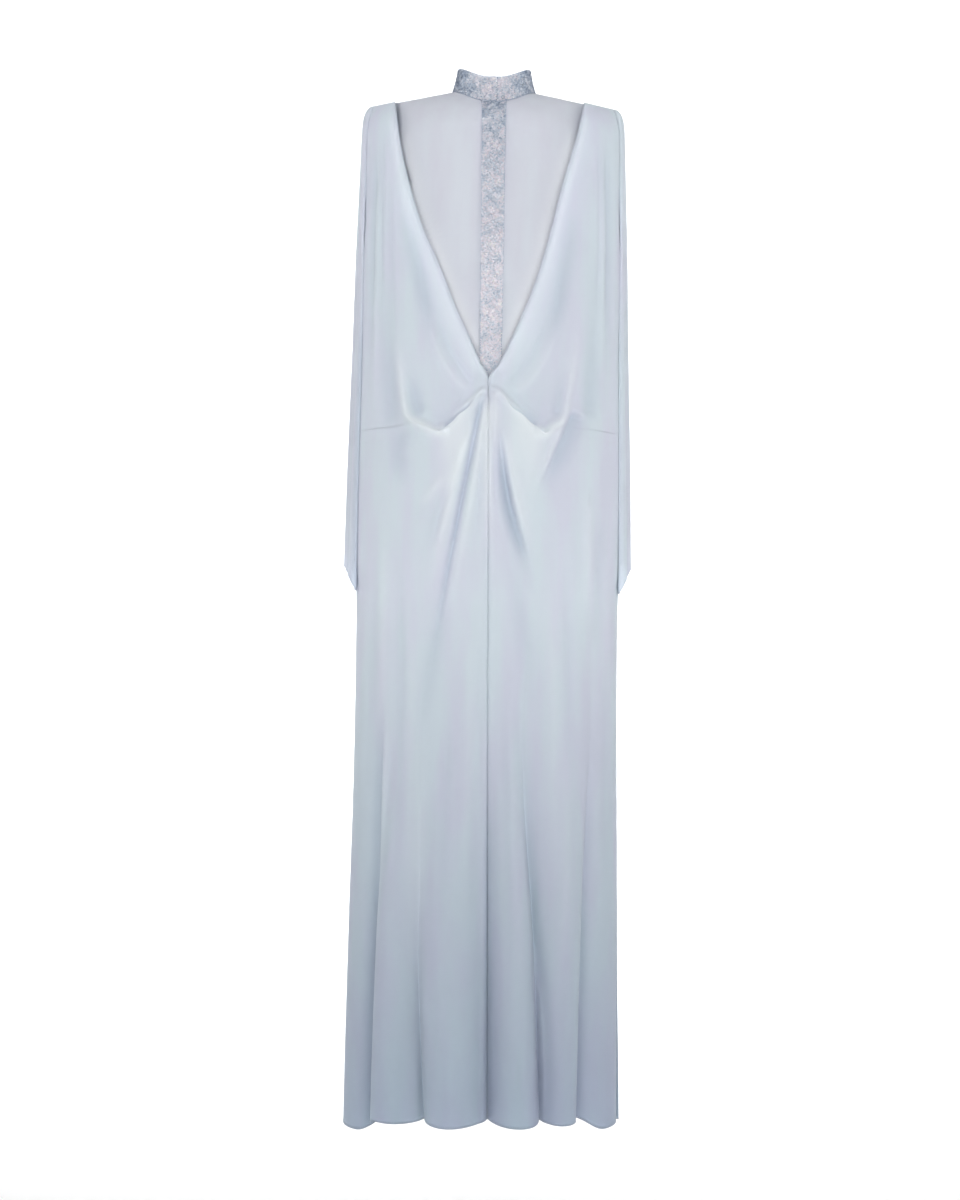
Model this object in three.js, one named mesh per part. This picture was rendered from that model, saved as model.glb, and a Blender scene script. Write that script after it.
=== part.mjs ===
// A floor-length chiffon kaftan, hollow, as it hangs from a wearer's neck and shoulders.
// Millimetres, +Z up. The wearer faces -Y, so +X is the wearer's left. The origin is the middle of
// the neck opening, level with the points where the shoulder seams meet the stand collar.
//
// Pieces: a stand collar and a centre-front band, an inner high-necked bodice of two fronts and a
// back, and the outer kaftan: two upper fronts that open in a deep V and are gathered to one point
// at the waist, two upper backs, a skirt of two fronts and a back that is sewn to them in the fold
// at the waist, and two hanging sleeves. Each has a front and a back piece, joined by a seam that
// goes on from the shoulder's, and an under piece against the gown's side.
import * as THREE from "three";

// ---- Driving sizes ----
const CLOTH = 1.2; // wall of every chiffon piece
const BEADED = 2.4; // wall of the beaded collar and band
const SEAM = 0.4; // gap between pieces that are sewn together
const SHOULDER_Z = 4; // height of the shoulder seam at the neck
const SHOULDER_FALL = 0.19; // how fast the shoulder seam drops outwards
const SHOULDER_ROLL = 70; // drop over which the cloth turns from the seam to the upright
const SQUARENESS = 2.4; // exponent of the garment's rounded cross-section
const NECK = { half: 64, front: 74, back: 48 };
const COLLAR_HEIGHT = { side: 33, front: 37, back: 33 };
const COLLAR_RIM = { half: 50, front: 63, back: 43, lean: -5 };
const COLLAR_SLIT_X = 4; // the collar's opening, a little to the wearer's left of centre
const BAND = { half_top: 17.5, half_end: 15.5, lift: 0.6, top_share: 0.35 };
const BODICE_END_Z = -432;
const BODICE_DROP = 1.7; // the bodice's shoulder lies this far under the kaftan's
const UNDERARM_Z = -235;
const SHOULDER_ROW_Z = -12; // height of the fronts' first row in their tables
const HEM = { front: -1510, side: -1542, back: -1548 };

const CHIFFON = new THREE.MeshStandardMaterial({ color: 0xcbd6e1, roughness: 0.75, metalness: 0 });
const SHEER = new THREE.MeshStandardMaterial({ color: 0xcdd3df, roughness: 0.8, metalness: 0 });
const BEADS = new THREE.MeshStandardMaterial({ color: 0xb4bdd3, roughness: 0.35, metalness: 0.3 });

// ---- Sections: half width at the side seams, and depth before and behind the shoulder line ----
const OUTER = [
  { z: 20, half: 192, front: 88, back: 74 },
  { z: -20, half: 193, front: 92, back: 79 },
  { z: -60, half: 194, front: 99, back: 90 },
  { z: -120, half: 193, front: 110, back: 101 },
  { z: -200, half: 192, front: 119, back: 108 },
  { z: -300, half: 192, front: 120, back: 110 },
  { z: -440, half: 193, front: 114, back: 108 },
  { z: -520, half: 194, front: 120, back: 108 },
  { z: -745, half: 196, front: 123, back: 112 },
  { z: -1100, half: 199, front: 125, back: 118 },
  { z: -1550, half: 202, front: 126, back: 126 },
];
const INNER = [
  { z: 20, half: 160, front: 78, back: 62 },
  { z: -20, half: 162, front: 82, back: 67 },
  { z: -60, half: 166, front: 87, back: 77 },
  { z: -120, half: 168, front: 96, back: 88 },
  { z: -200, half: 164, front: 104, back: 94 },
  { z: -235, half: 160, front: 106, back: 95 },
  { z: -300, half: 152, front: 105, back: 93 },
  { z: -440, half: 146, front: 99, back: 88 },
];

// ---- Edges and long folds of the outer fronts, as distances from the centre plane ----
// side: armhole edge, then side seam. fold_a and fold_b: the two long valleys between the hem's
// three lobes. inner: the V edge, then the centre-front seam.
const RIGHT_FRONT = [
  { z: -12, side: 178, fold_a: 168, fold_b: 158, inner: 148 },
  { z: -60, side: 186.5, fold_a: 172, fold_b: 157, inner: 142 },
  { z: -92, side: 187, fold_a: 171, fold_b: 154, inner: 137 },
  { z: -153, side: 188, fold_a: 168, fold_b: 148, inner: 122.5 },
  { z: -209, side: 190, fold_a: 165, fold_b: 143, inner: 105 },
  { z: -271, side: 192, fold_a: 162, fold_b: 140, inner: 77 },
  { z: -331, side: 192, fold_a: 160, fold_b: 135, inner: 52.7 },
  { z: -374, side: 192, fold_a: 158, fold_b: 132, inner: 32 },
  { z: -411, side: 193, fold_a: 156, fold_b: 128, inner: 14.9 },
  { z: -436, side: 193, fold_a: 154, fold_b: 125, inner: 2.8 },
  { z: -500, side: 194, fold_a: 151, fold_b: 112, inner: 2.2 },
  { z: -740, side: 196, fold_a: 144, fold_b: 97, inner: -1 },
  { z: -940, side: 198, fold_a: 140, fold_b: 93, inner: -2.9 },
  { z: -1243, side: 200, fold_a: 157, fold_b: 93, inner: -7 },
  { z: -1550, side: 202, fold_a: 160, fold_b: 79, inner: -11 },
];
const LEFT_FRONT = [
  { z: -12, side: 178, fold_a: 164, fold_b: 150, inner: 135 },
  { z: -70, side: 186.5, fold_a: 170, fold_b: 151, inner: 124.5 },
  { z: -114, side: 187, fold_a: 169, fold_b: 147, inner: 112.5 },
  { z: -160, side: 188, fold_a: 167, fold_b: 143, inner: 99.5 },
  { z: -203, side: 190, fold_a: 165, fold_b: 141, inner: 89.5 },
  { z: -264, side: 192, fold_a: 163, fold_b: 139, inner: 73.5 },
  { z: -304, side: 192, fold_a: 161, fold_b: 137, inner: 60.7 },
  { z: -344, side: 192, fold_a: 159, fold_b: 134, inner: 44.5 },
  { z: -381, side: 192, fold_a: 157, fold_b: 132, inner: 28.4 },
  { z: -414, side: 193, fold_a: 156, fold_b: 130, inner: 11.9 },
  { z: -436, side: 193, fold_a: 154, fold_b: 128, inner: -2.8 },
  { z: -500, side: 194, fold_a: 152, fold_b: 117, inner: -2.2 },
  { z: -740, side: 196, fold_a: 154, fold_b: 72, inner: 1 },
  { z: -940, side: 198, fold_a: 155, fold_b: 53, inner: 2.9 },
  { z: -1243, side: 200, fold_a: 147, fold_b: 74, inner: 7 },
  { z: -1550, side: 202, fold_a: 141, fold_b: 88, inner: 11 },
];
// The lobes between those folds, from the side seam to the centre: height of the crest at the hem,
// where a lobe begins to show, and how far its crest leans towards the wearer's right.
const RIGHT_LOBES = [
  { depth: 12, from_z: -760, lean: 4 },
  { depth: 36, from_z: -860, lean: 0 },
  { depth: 42, from_z: -900, lean: 2 },
];
const LEFT_LOBES = [
  { depth: 12, from_z: -700, lean: -3 },
  { depth: 32, from_z: -640, lean: 2 },
  { depth: 38, from_z: -760, lean: -2 },
];
const BACK_LOBES = [
  { depth: 20, from_z: -560, lean: 0 },
  { depth: 46, from_z: -420, lean: 3 },
  { depth: 54, from_z: -500, lean: -3 },
  { depth: 50, from_z: -380, lean: 4 },
  { depth: 44, from_z: -460, lean: 0 },
  { depth: 20, from_z: -600, lean: -3 },
];

// how far the folds between lobes sink at the hem, and how much deeper they are inside the back
const VALLEYS = { depth: 8, deeper: 14, from_z: -620 };
const FOLDS_FULL_Z = -1519; // where a lobe is fully open
const FOLD_EASE = 0.8; // how soon a fold opens below where it begins
const LOBE_PINCH = 0.11; // how far a lobe's cloth crowds towards its crest
const HEM_EASE = 1.3; // how late the hem drops towards the side seam
const FOLD_START = { front: 60, back: 260 }; // drop from the top edge over which folds fade in

// ---- The swagged lip on each front: its height, and how fully it is folded ----
const LIP = [
  { x: 0, z: -443, folded: 0 },
  { x: 17, z: -454, folded: 0.1 },
  { x: 34, z: -468, folded: 0.55 },
  { x: 50, z: -483, folded: 0.9 },
  { x: 65, z: -494, folded: 1 },
  { x: 79, z: -504, folded: 1 },
  { x: 91, z: -507, folded: 0.85 },
  { x: 105, z: -504, folded: 0.5 },
  { x: 118, z: -502, folded: 0.15 },
  { x: 135, z: -504, folded: 0 },
  { x: 202, z: -510, folded: 0 },
];
// Rows of cloth across the lip: drop below its line and stand-off, laid smooth and folded.
const LIP_ROWS = [
  { smooth: -22, drop: -14, out: -11 },
  { smooth: -10, drop: -2, out: -14 },
  { smooth: -4, drop: 8, out: -15 },
  { smooth: 0, drop: 15, out: -12 },
  { smooth: 4, drop: 10, out: -7.5 },
  { smooth: 8, drop: 2, out: -3 },
  { smooth: 12, drop: -1.5, out: 1.5 },
  { smooth: 17, drop: 3, out: 5 },
  { smooth: 24, drop: 12, out: 5 },
];
const LIP_HOLLOW = { depth: -14, reach: 62 }; // how the cloth above the lip sinks back
const LIP_PLACE_Z = -500; // height at which a column's place along the lip is read
const LIP_APPROACH = 14; // the rows above end this far over the lip's first row
const LIP_TIGHTNESS = 1.5; // how late a half-folded lip begins to overhang
const LIP_RUN_OUT = { out: 5, rate: 14 }; // how the cloth below the lip falls back to the skirt
const LIP_SEAM_ROW = 3; // the lip row, at the bottom of the fold, where the skirt is sewn on
const CREASE_STEPS = 12;
const CREASE_ENDS = { share: 0.04, ease: 0.6 }; // how a crease fades towards its ends

// ---- Creases of the outer fronts: troughs have a negative depth, ridges a positive one ----
const CREASES = [
  { name: "right trough", depth: -15, width: 7, x0: -6, z0: -450, x1: -34, z1: -570, x2: -60, z2: -727 },
  { name: "right lower", depth: -7, width: 12, x0: -56, z0: -690, x1: -72, z1: -810, x2: -88, z2: -930 },
  { name: "right pleat", depth: 6, width: 9, x0: -18, z0: -480, x1: -52, z1: -590, x2: -84, z2: -760 },
  { name: "left trough", depth: -16, width: 11, x0: 7, z0: -470, x1: 22, z1: -585, x2: 56, z2: -700 },
  { name: "left lower", depth: -7, width: 13, x0: 34, z0: -700, x1: 48, z1: -790, x2: 66, z2: -890 },
  { name: "left pleat", depth: 5, width: 10, x0: 22, z0: -500, x1: 44, z1: -600, x2: 72, z2: -720 },
  { name: "waist tent", depth: 8, width: 12, x0: -1, z0: -450, x1: 0, z1: -570, x2: 2, z2: -720 },
  { name: "left hip", depth: -9, width: 16, x0: 148, z0: -500, x1: 118, z1: -545, x2: 72, z2: -600 },
  { name: "right hip", depth: -6, width: 14, x0: -122, z0: -498, x1: -134, z1: -545, x2: -118, z2: -600 },
  { name: "hip ridge", depth: 4, width: 10, x0: -62, z0: -548, x1: -84, z1: -590, x2: -106, z2: -628 },
  { name: "right swag", depth: 11, width: 11, x0: -116, z0: -488, x1: -127, z1: -420, x2: -136, z2: -300 },
  { name: "left swag", depth: 11, width: 11, x0: 119, z0: -492, x1: 129, z1: -430, x2: 138, z2: -300 },
  { name: "right pocket", depth: -6, width: 13, x0: -142, z0: -520, x1: -150, z1: -420, x2: -156, z2: -240 },
  { name: "left pocket", depth: -6, width: 13, x0: 146, z0: -500, x1: 150, z1: -420, x2: 158, z2: -200 },
  { name: "right armhole", depth: -5, width: 6, x0: -172, z0: -60, x1: -176, z1: -220, x2: -178, z2: -470 },
  { name: "left armhole", depth: -5, width: 6, x0: 166, z0: -60, x1: 172, z1: -220, x2: 172, z2: -470 },
  { name: "right breast", depth: -5, width: 12, x0: -132, z0: -180, x1: -104, z1: -300, x2: -70, z2: -420 },
  { name: "left breast", depth: -5, width: 12, x0: 122, z0: -170, x1: 104, z1: -300, x2: 74, z2: -420 },
];

// ---- Free edges of the inner bodice's armholes, as distances from the centre plane ----
const BODICE_EDGE = [
  { z: -6, right: 122, left: 129 },
  { z: -40, right: 131, left: 132 },
  { z: -85, right: 141, left: 134 },
  { z: -105, right: 137, left: 134 },
  { z: -125, right: 124, left: 134 },
  { z: -146, right: 118, left: 135 },
  { z: -165, right: 126, left: 137 },
  { z: -205, right: 146, left: 148 },
  { z: -235, right: 159.9, left: 159.9 },
  { z: -300, right: 151.9, left: 151.9 },
  { z: -440, right: 145.9, left: 145.9 },
];

// ---- Hanging sleeves: outline from the front, and front and back folds as seen from the side ----
const SLEEVE = [
  { z: -18, outer: 180, front: -1.5, back: 1.5, ripple: 0 },
  { z: -22, outer: 187, front: -16, back: 14, ripple: 0 },
  { z: -29, outer: 192, front: -23, back: 22, ripple: 0 },
  { z: -41, outer: 195.5, front: -29, back: 29, ripple: 0 },
  { z: -60, outer: 197, front: -34, back: 36, ripple: 0.3 },
  { z: -120, outer: 199, front: -40, back: 44, ripple: 0.8 },
  { z: -180, outer: 201, front: -43, back: 50, ripple: 1.2 },
  { z: -235, outer: 203, front: -45, back: 56, ripple: 1.5 },
  { z: -380, outer: 207, front: -48, back: 68, ripple: 2 },
  { z: -540, outer: 212, front: -52, back: 80, ripple: 2.6 },
  { z: -745, outer: 216, front: -56, back: 92, ripple: 3.2 },
];
const CUFF = { outer_z: -703, inner_z: -744 };
const SLEEVE_INSIDE = 2.2; // how far the sleeve's inside stays off the kaftan's side
const SLEEVE_LEAVES_Z = -150; // above this the sleeve's inside edge lies on the armhole
const SLEEVE_FULLNESS = 0.8; // below 1 the sleeve is squarer than an ellipse from above
const RIPPLES = { count: 5, phase: 0.6, sink: 0.6 }; // soft upright waves in the outer pieces
const CUFF_EASE = 1.5; // how the cuff rises from the folds to the seam over the arm
const SLEEVE_ROW_SPREAD = 1.7; // crowds the sleeve's rows towards the shoulder

// ---- Reading the tables ----
const mix = (a, b, s) => a + (b - a) * s;
const clamp = (v, low, high) => Math.min(high, Math.max(low, v));
const smooth = (s) => s * s * (3 - 2 * s);
const power = (v, p) => Math.sign(v) * Math.abs(v) ** p;

// A smooth curve through one column of a table, level beyond its ends.
function read(table, column, at, key = "z") {
  const order = Math.sign(table[table.length - 1][key] - table[0][key]);
  let i = 0;
  while (i < table.length - 2 && order * (at - table[i + 1][key]) > 0) i += 1;
  const run = table[i + 1][key] - table[i][key];
  const s = clamp((at - table[i][key]) / run, 0, 1);
  const slope = (k) => {
    const steepness = (m) => (table[m + 1][column] - table[m][column]) / (table[m + 1][key] - table[m][key]);
    if (k === 0) return steepness(0);
    if (k === table.length - 1) return steepness(k - 1);
    const before = steepness(k - 1);
    const after = steepness(k);
    return before * after > 0 ? (2 * before * after) / (before + after) : 0;
  };
  const a = table[i][column];
  const b = table[i + 1][column];
  return (
    mix(a, b, smooth(s)) + run * s * (1 - s) * ((1 - s) * slope(i) - s * slope(i + 1))
  );
}

// ---- The garment's rounded form ----
const shoulderZ = (x) => SHOULDER_Z - SHOULDER_FALL * (Math.abs(x) - NECK.half - 1);
const topOf = (sections, x) => shoulderZ(x) - (sections === INNER ? BODICE_DROP : 0);
const roll = (drop) => Math.sqrt(1 - (1 - clamp(drop / SHOULDER_ROLL, 0, 1)) ** 2);
const turnOf = (x, half) => Math.asin(clamp(Math.abs(x) / half, 0, 1) ** (SQUARENESS / 2)) * Math.sign(x);
const widthAt = (turn, half) => half * power(Math.sin(turn), 2 / SQUARENESS);

// Depth of a section at x: face is "front" (towards -Y) or "back".
function depthAt(sections, face, x, z) {
  const across = clamp(Math.abs(x) / read(sections, "half", z), 0, 1);
  const depth = read(sections, face, z) * (1 - across ** SQUARENESS) ** (1 / SQUARENESS);
  return (face === "front" ? -1 : 1) * depth * roll(topOf(sections, x) - z);
}

// How far forward, from 0 to 1, a point lies on the turn over the shoulder.
function shareAt(sections, face, p) {
  const across = clamp(Math.abs(p.x) / read(sections, "half", p.z), 0, 1);
  return Math.abs(p.y) / (read(sections, face, p.z) * (1 - across ** SQUARENESS) ** (1 / SQUARENESS));
}

// Height of row r: the first rows turn over the shoulder from share, how far forward the top edge
// already lies, and the rest go down to end.
const ROUND_ROWS = 5;
function rowZ(r, lastRow, apex, share, end) {
  const start = Math.asin(clamp(share, 0, 1));
  const turn = mix(start, Math.PI / 2, Math.min(r / ROUND_ROWS, 1));
  const down = Math.max(0, (r - ROUND_ROWS) / (lastRow - ROUND_ROWS));
  return mix(apex - SHOULDER_ROLL * (1 - Math.cos(turn)), end, down);
}

// The level direction out of a section at x.
function outwards(sections, face, x, z) {
  const half = read(sections, "half", z);
  const deep = read(sections, face, z);
  const across = clamp(Math.abs(x) / half, 0, 1);
  const forward = (1 - across ** SQUARENESS) ** (1 / SQUARENESS);
  const direction = new THREE.Vector3(
    (Math.sign(x) * across ** (SQUARENESS - 1)) / half,
    ((face === "front" ? -1 : 1) * forward ** (SQUARENESS - 1)) / deep,
    0,
  );
  return direction.normalize();
}

// Height of a section's surface at a point given from above, for necklines.
function heightAt(sections, face, x, y) {
  let z = 0;
  for (let pass = 0; pass < 6; pass += 1) {
    const across = clamp(Math.abs(x) / read(sections, "half", z), 0, 1);
    const depth = read(sections, face, z) * (1 - across ** SQUARENESS) ** (1 / SQUARENESS);
    const share = clamp(Math.abs(y) / depth, 0, 1);
    z = topOf(sections, x) - SHOULDER_ROLL * (1 - Math.sqrt(1 - share * share));
  }
  return z;
}

// ---- Closed walls from grids of points ----
// points[row][column] is a face of cloth, and rows x columns point out of it.
function normalAt(points, r, c) {
  const at = (row, column) => {
    const line = points[clamp(row, 0, points.length - 1)];
    return line[clamp(column, 0, line.length - 1)];
  };
  const down = at(r + 1, c).clone().sub(at(r - 1, c)).normalize();
  const across = at(r, c + 1).clone().sub(at(r, c - 1)).normalize();
  return down.cross(across).normalize();
}

// The same face moved out by a distance.
function movedOut(points, distance) {
  const moved = (p, r, c) => p.clone().addScaledVector(normalAt(points, r, c), distance);
  return points.map((line, r) => line.map((p, c) => moved(p, r, c)));
}

// A face with its inner face, a cloth's thickness under it. keep holds inner points on their own
// side of a seam.
function cloth(points, keep = () => {}) {
  const under = movedOut(points, -CLOTH);
  under.forEach((line, r) => line.forEach((p, c) => keep(p, points[r][c], c)));
  return { points, under };
}

// The closed wall between a face and its inner face.
function wall({ points, under: inner }) {
  const rows = points.length;
  const columns = points[0].length;
  const position = [];
  const quad = (a, b, c, d) => {
    for (const p of [a, b, c, a, c, d]) position.push(p.x, p.y, p.z);
  };
  for (let r = 0; r < rows - 1; r += 1) {
    for (let c = 0; c < columns - 1; c += 1) {
      quad(points[r][c], points[r + 1][c], points[r + 1][c + 1], points[r][c + 1]);
      quad(inner[r][c], inner[r][c + 1], inner[r + 1][c + 1], inner[r + 1][c]);
    }
    const end = columns - 1;
    quad(points[r][0], inner[r][0], inner[r + 1][0], points[r + 1][0]);
    quad(points[r][end], points[r + 1][end], inner[r + 1][end], inner[r][end]);
  }
  for (let c = 0; c < columns - 1; c += 1) {
    const end = rows - 1;
    quad(points[0][c], points[0][c + 1], inner[0][c + 1], inner[0][c]);
    quad(points[end][c], inner[end][c], inner[end][c + 1], points[end][c + 1]);
  }
  return new THREE.BufferGeometry().setAttribute("position", new THREE.Float32BufferAttribute(position, 3));
}

// A face and its inner face cut along a row, with a seam's gap between the two parts.
function cutAtRow({ points, under }, row) {
  const step = (next) => points[row].map((p, c) => SEAM / 2 / p.distanceTo(points[next][c]));
  const moved = (lines, next) => {
    const steps = step(next);
    return lines[row].map((p, c) => p.clone().lerp(lines[next][c], steps[c]));
  };
  const above = (lines) => [...lines.slice(0, row), moved(lines, row - 1)];
  const below = (lines) => [moved(lines, row + 1), ...lines.slice(row + 1)];
  return [
    { points: above(points), under: above(under) },
    { points: below(points), under: below(under) },
  ];
}

// The same, cut along a column.
function cutAtColumn({ points, under }, column) {
  const turned = (lines) => lines[0].map((_, c) => lines.map((line) => line[c]));
  return cutAtRow({ points: turned(points), under: turned(under) }, column).map((part) => ({
    points: turned(part.points),
    under: turned(part.under),
  }));
}

const kaftan = new THREE.Group();

function sew(name, geometry, material) {
  const mesh = new THREE.Mesh(geometry, material);
  mesh.name = name;
  kaftan.add(mesh);
}

// A grid of points from a function of row and column, turned round where its rows run the other way.
function grid(rows, columns, pointAt, reversed) {
  return Array.from({ length: rows }, (_, r) => {
    const line = Array.from({ length: columns }, (_, c) => pointAt(r, c));
    return reversed ? line.reverse() : line;
  });
}

// ---- Outer fronts ----
const ROWS_ABOVE = 14; // from the shoulder seam to the lip
const ROWS_BELOW = 15; // from the lip to the hem
const BELOW_SPREAD = 1.1; // crowds those rows towards the lip
const LOBE_COLUMNS = 6;

// How far creases raise or sink the cloth at a point of the front.
function creasesAt(x, z) {
  return CREASES.reduce((sum, crease) => {
    let nearest = Infinity;
    let along = 0;
    for (let i = 0; i <= CREASE_STEPS; i += 1) {
      const s = i / CREASE_STEPS;
      const bend = (a, b, c) => mix(mix(a, 2 * b - (a + c) / 2, s), mix(2 * b - (a + c) / 2, c, s), s);
      const onX = bend(crease.x0, crease.x1, crease.x2);
      const onZ = bend(crease.z0, crease.z1, crease.z2);
      const gap = Math.hypot(x - onX, z - onZ);
      if (gap < nearest) [nearest, along] = [gap, s];
    }
    const inside = clamp(along, CREASE_ENDS.share, 1 - CREASE_ENDS.share);
    const fade = Math.sin(Math.PI * inside) ** CREASE_ENDS.ease;
    return sum + crease.depth * fade * Math.exp(-((nearest / crease.width) ** 2));
  }, 0);
}

// How far a fold has grown at a height, from 0 where it begins to 1 at the hem.
const growth = (fold, z) =>
  smooth(clamp((z - fold.from_z) / (FOLDS_FULL_Z - fold.from_z), 0, 1)) ** FOLD_EASE;

// A lobe from one valley to the next: step along it, stand-off and lean.
function lobeAt(lobe, s, z) {
  const grown = growth(lobe, z);
  const wave = (1 - Math.cos(2 * Math.PI * s)) / 2;
  const pinch = LOBE_PINCH * grown * Math.sin(2 * Math.PI * s);
  const out = lobe.depth * grown * wave - VALLEYS.depth * growth(VALLEYS, z);
  return { step: s - pinch, out, lean: lobe.lean * grown * wave };
}

function hemZ(x, face) {
  const turn = Math.min(1, Math.abs(x) / OUTER[OUTER.length - 1].half);
  return mix(HEM[face], HEM.side, smooth(turn) ** HEM_EASE);
}

function frontPanel(side, edges, lobes) {
  const columns = 3 * LOBE_COLUMNS + 1;
  const gap = SEAM / 2;
  const edgeAt = (column, z) => side * (read(edges, column, z) + (column === "inner" ? gap : 0));

  // The cloth across the front at height z: place of column c, before the lip.
  function across(c, z) {
    const names = ["side", "fold_a", "fold_b", "inner"];
    const part = Math.min(2, Math.floor(c / LOBE_COLUMNS));
    const s = (c - part * LOBE_COLUMNS) / LOBE_COLUMNS;
    const fold = lobeAt(lobes[part], s, z);
    const half = read(OUTER, "half", z);
    const from = turnOf(edgeAt(names[part], z), half);
    const to = turnOf(edgeAt(names[part + 1], z), half);
    const x = widthAt(mix(from, to, fold.step), half) - fold.lean;
    return { x, out: fold.out };
  }

  function point(c, z, standOff) {
    const place = across(c, z);
    const x = place.x;
    const p = new THREE.Vector3(x, depthAt(OUTER, "front", x, z), z);
    const settled = smooth(clamp((shoulderZ(x) - z) / FOLD_START.front, 0, 1));
    const raised = (place.out + creasesAt(x, z)) * settled + standOff;
    return p.addScaledVector(outwards(OUTER, "front", x, z), raised);
  }

  const lipX = (c) => Math.abs(across(c, LIP_PLACE_Z).x);
  const points = grid(ROWS_ABOVE + LIP_ROWS.length + ROWS_BELOW, columns, (r, c) => {
    const lipZ = read(LIP, "z", lipX(c), "x");
    const folded = read(LIP, "folded", lipX(c), "x");
    const hollow = (above) => LIP_HOLLOW.depth * folded * Math.exp(-((above / LIP_HOLLOW.reach) ** 2));
    if (r < ROWS_ABOVE) {
      const top = shoulderZ(across(c, SHOULDER_ROW_Z).x);
      const end = lipZ - mix(LIP_ROWS[0].smooth, LIP_ROWS[0].drop, folded) + LIP_APPROACH;
      const z = rowZ(r, ROWS_ABOVE - 1, top, 0, end);
      const p = point(c, z, hollow(z - lipZ));
      if (r === 0) p.set(across(c, SHOULDER_ROW_Z).x, -gap, top);
      return p;
    }
    const k = r - ROWS_ABOVE;
    if (k < LIP_ROWS.length) {
      const row = LIP_ROWS[k];
      const z = lipZ - mix(row.smooth, row.drop, folded ** LIP_TIGHTNESS);
      return point(c, z, row.out * Math.sqrt(folded));
    }
    const s = (k - LIP_ROWS.length + 1) / ROWS_BELOW;
    const last = LIP_ROWS[LIP_ROWS.length - 1];
    const start = lipZ - mix(last.smooth, last.drop, folded);
    const hem = hemZ(across(c, HEM.front).x, "front");
    const out = LIP_RUN_OUT.out * folded * Math.exp(-s * LIP_RUN_OUT.rate);
    return point(c, mix(start, hem, s ** BELOW_SPREAD), out);
  }, side > 0);
  const centre = side > 0 ? 0 : columns - 1;
  return cloth(points, (sunk, p, c) => {
    sunk.y = Math.min(sunk.y, -gap);
    if (c === centre) sunk.x = p.x;
  });
}

for (const [name, side, edges, lobes] of [
  ["right", -1, RIGHT_FRONT, RIGHT_LOBES],
  ["left", 1, LEFT_FRONT, LEFT_LOBES],
]) {
  const [upper, skirt] = cutAtRow(frontPanel(side, edges, lobes), ROWS_ABOVE + LIP_SEAM_ROW);
  sew(`front_${name}`, wall(upper), CHIFFON);
  sew(`skirt_${name}`, wall(skirt), CHIFFON);
}

// ---- Outer back ----
const BACK_ROWS = 22;
const BACK_WAIST_ROW = 10; // the row where the skirt is sewn to the upper backs
const BACK_WAIST_Z = -508; // its height, level with the fronts' seam at the sides
const BACK_LOBE_COLUMNS = 6;
const BACK_NECK = { half: NECK.half + 3, depth: NECK.back + 5, steps: 7 };

function backPanel() {
  const columns = BACK_LOBES.length * BACK_LOBE_COLUMNS + 1;
  const middle = (columns - 1) / 2;
  const gap = SEAM / 2;
  const sideAt = (z) => read(RIGHT_FRONT, "side", z);

  // The top edge: round the neck in its middle columns, then along the shoulder seam.
  function topEdge(c) {
    const steps = Math.abs(c - middle);
    const sign = Math.sign(c - middle);
    const angle = (Math.min(steps / BACK_NECK.steps, 1) * Math.PI) / 2;
    const past = Math.max(0, (steps - BACK_NECK.steps) / (middle - BACK_NECK.steps));
    const x = sign * mix(BACK_NECK.half * Math.sin(angle), sideAt(0), past);
    const y = past > 0 ? gap : Math.max(gap, BACK_NECK.depth * Math.cos(angle));
    return new THREE.Vector3(x, y, heightAt(OUTER, "back", x, y));
  }

  function across(c, z) {
    const part = Math.min(BACK_LOBES.length - 1, Math.floor(c / BACK_LOBE_COLUMNS));
    const s = (c - part * BACK_LOBE_COLUMNS) / BACK_LOBE_COLUMNS;
    const fold = lobeAt(BACK_LOBES[part], s, z);
    const half = read(OUTER, "half", z);
    const turn = mix(-1, 1, (part + fold.step) / BACK_LOBES.length) * turnOf(sideAt(z), half);
    const settled = smooth(clamp((topEdge(c).z - z) / FOLD_START.back, 0, 1));
    const x = mix((topEdge(c).x * sideAt(z)) / sideAt(0), widthAt(turn, half) - fold.lean, settled);
    const inside = smooth(Math.min(1, part + s, BACK_LOBES.length - part - s));
    return { x, out: fold.out - VALLEYS.deeper * growth(VALLEYS, z) * inside };
  }

  const points = grid(BACK_ROWS, columns, (r, c) => {
    const top = topEdge(c);
    if (r === 0) return top;
    const share = top.y > gap ? shareAt(OUTER, "back", top) : 0;
    const hem = hemZ(across(c, HEM.back).x, "back");
    const below = (r - BACK_WAIST_ROW) / (BACK_ROWS - 1 - BACK_WAIST_ROW);
    const upper = rowZ(r, BACK_WAIST_ROW, shoulderZ(top.x), share, BACK_WAIST_Z);
    const z = below > 0 ? mix(BACK_WAIST_Z, hem, below) : upper;
    const place = across(c, z);
    const p = new THREE.Vector3(place.x, depthAt(OUTER, "back", place.x, z), z);
    p.addScaledVector(outwards(OUTER, "back", place.x, z), place.out);
    p.y = Math.max(p.y, gap);
    return p;
  }, true);
  return cloth(points, (sunk) => {
    sunk.y = Math.max(sunk.y, gap);
  });
}

const [upperBack, skirtBack] = cutAtRow(backPanel(), BACK_WAIST_ROW);
const centreBack = (BACK_LOBES.length * BACK_LOBE_COLUMNS) / 2;
const [backLeft, backRight] = cutAtColumn(upperBack, centreBack);
sew("back_right", wall(backRight), CHIFFON);
sew("back_left", wall(backLeft), CHIFFON);
sew("skirt_back", wall(skirtBack), CHIFFON);

// ---- Inner bodice ----
const BODICE_ROWS = 11;
const NECK_COLUMNS = 9;
const SHOULDER_COLUMNS = 3;
const BODICE_BACK_SET = 1; // how far behind the seam the back's front edge starts
const BODICE_BACK_DIP = 2.5; // how far the back's shoulder lies under the fronts'

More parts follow.
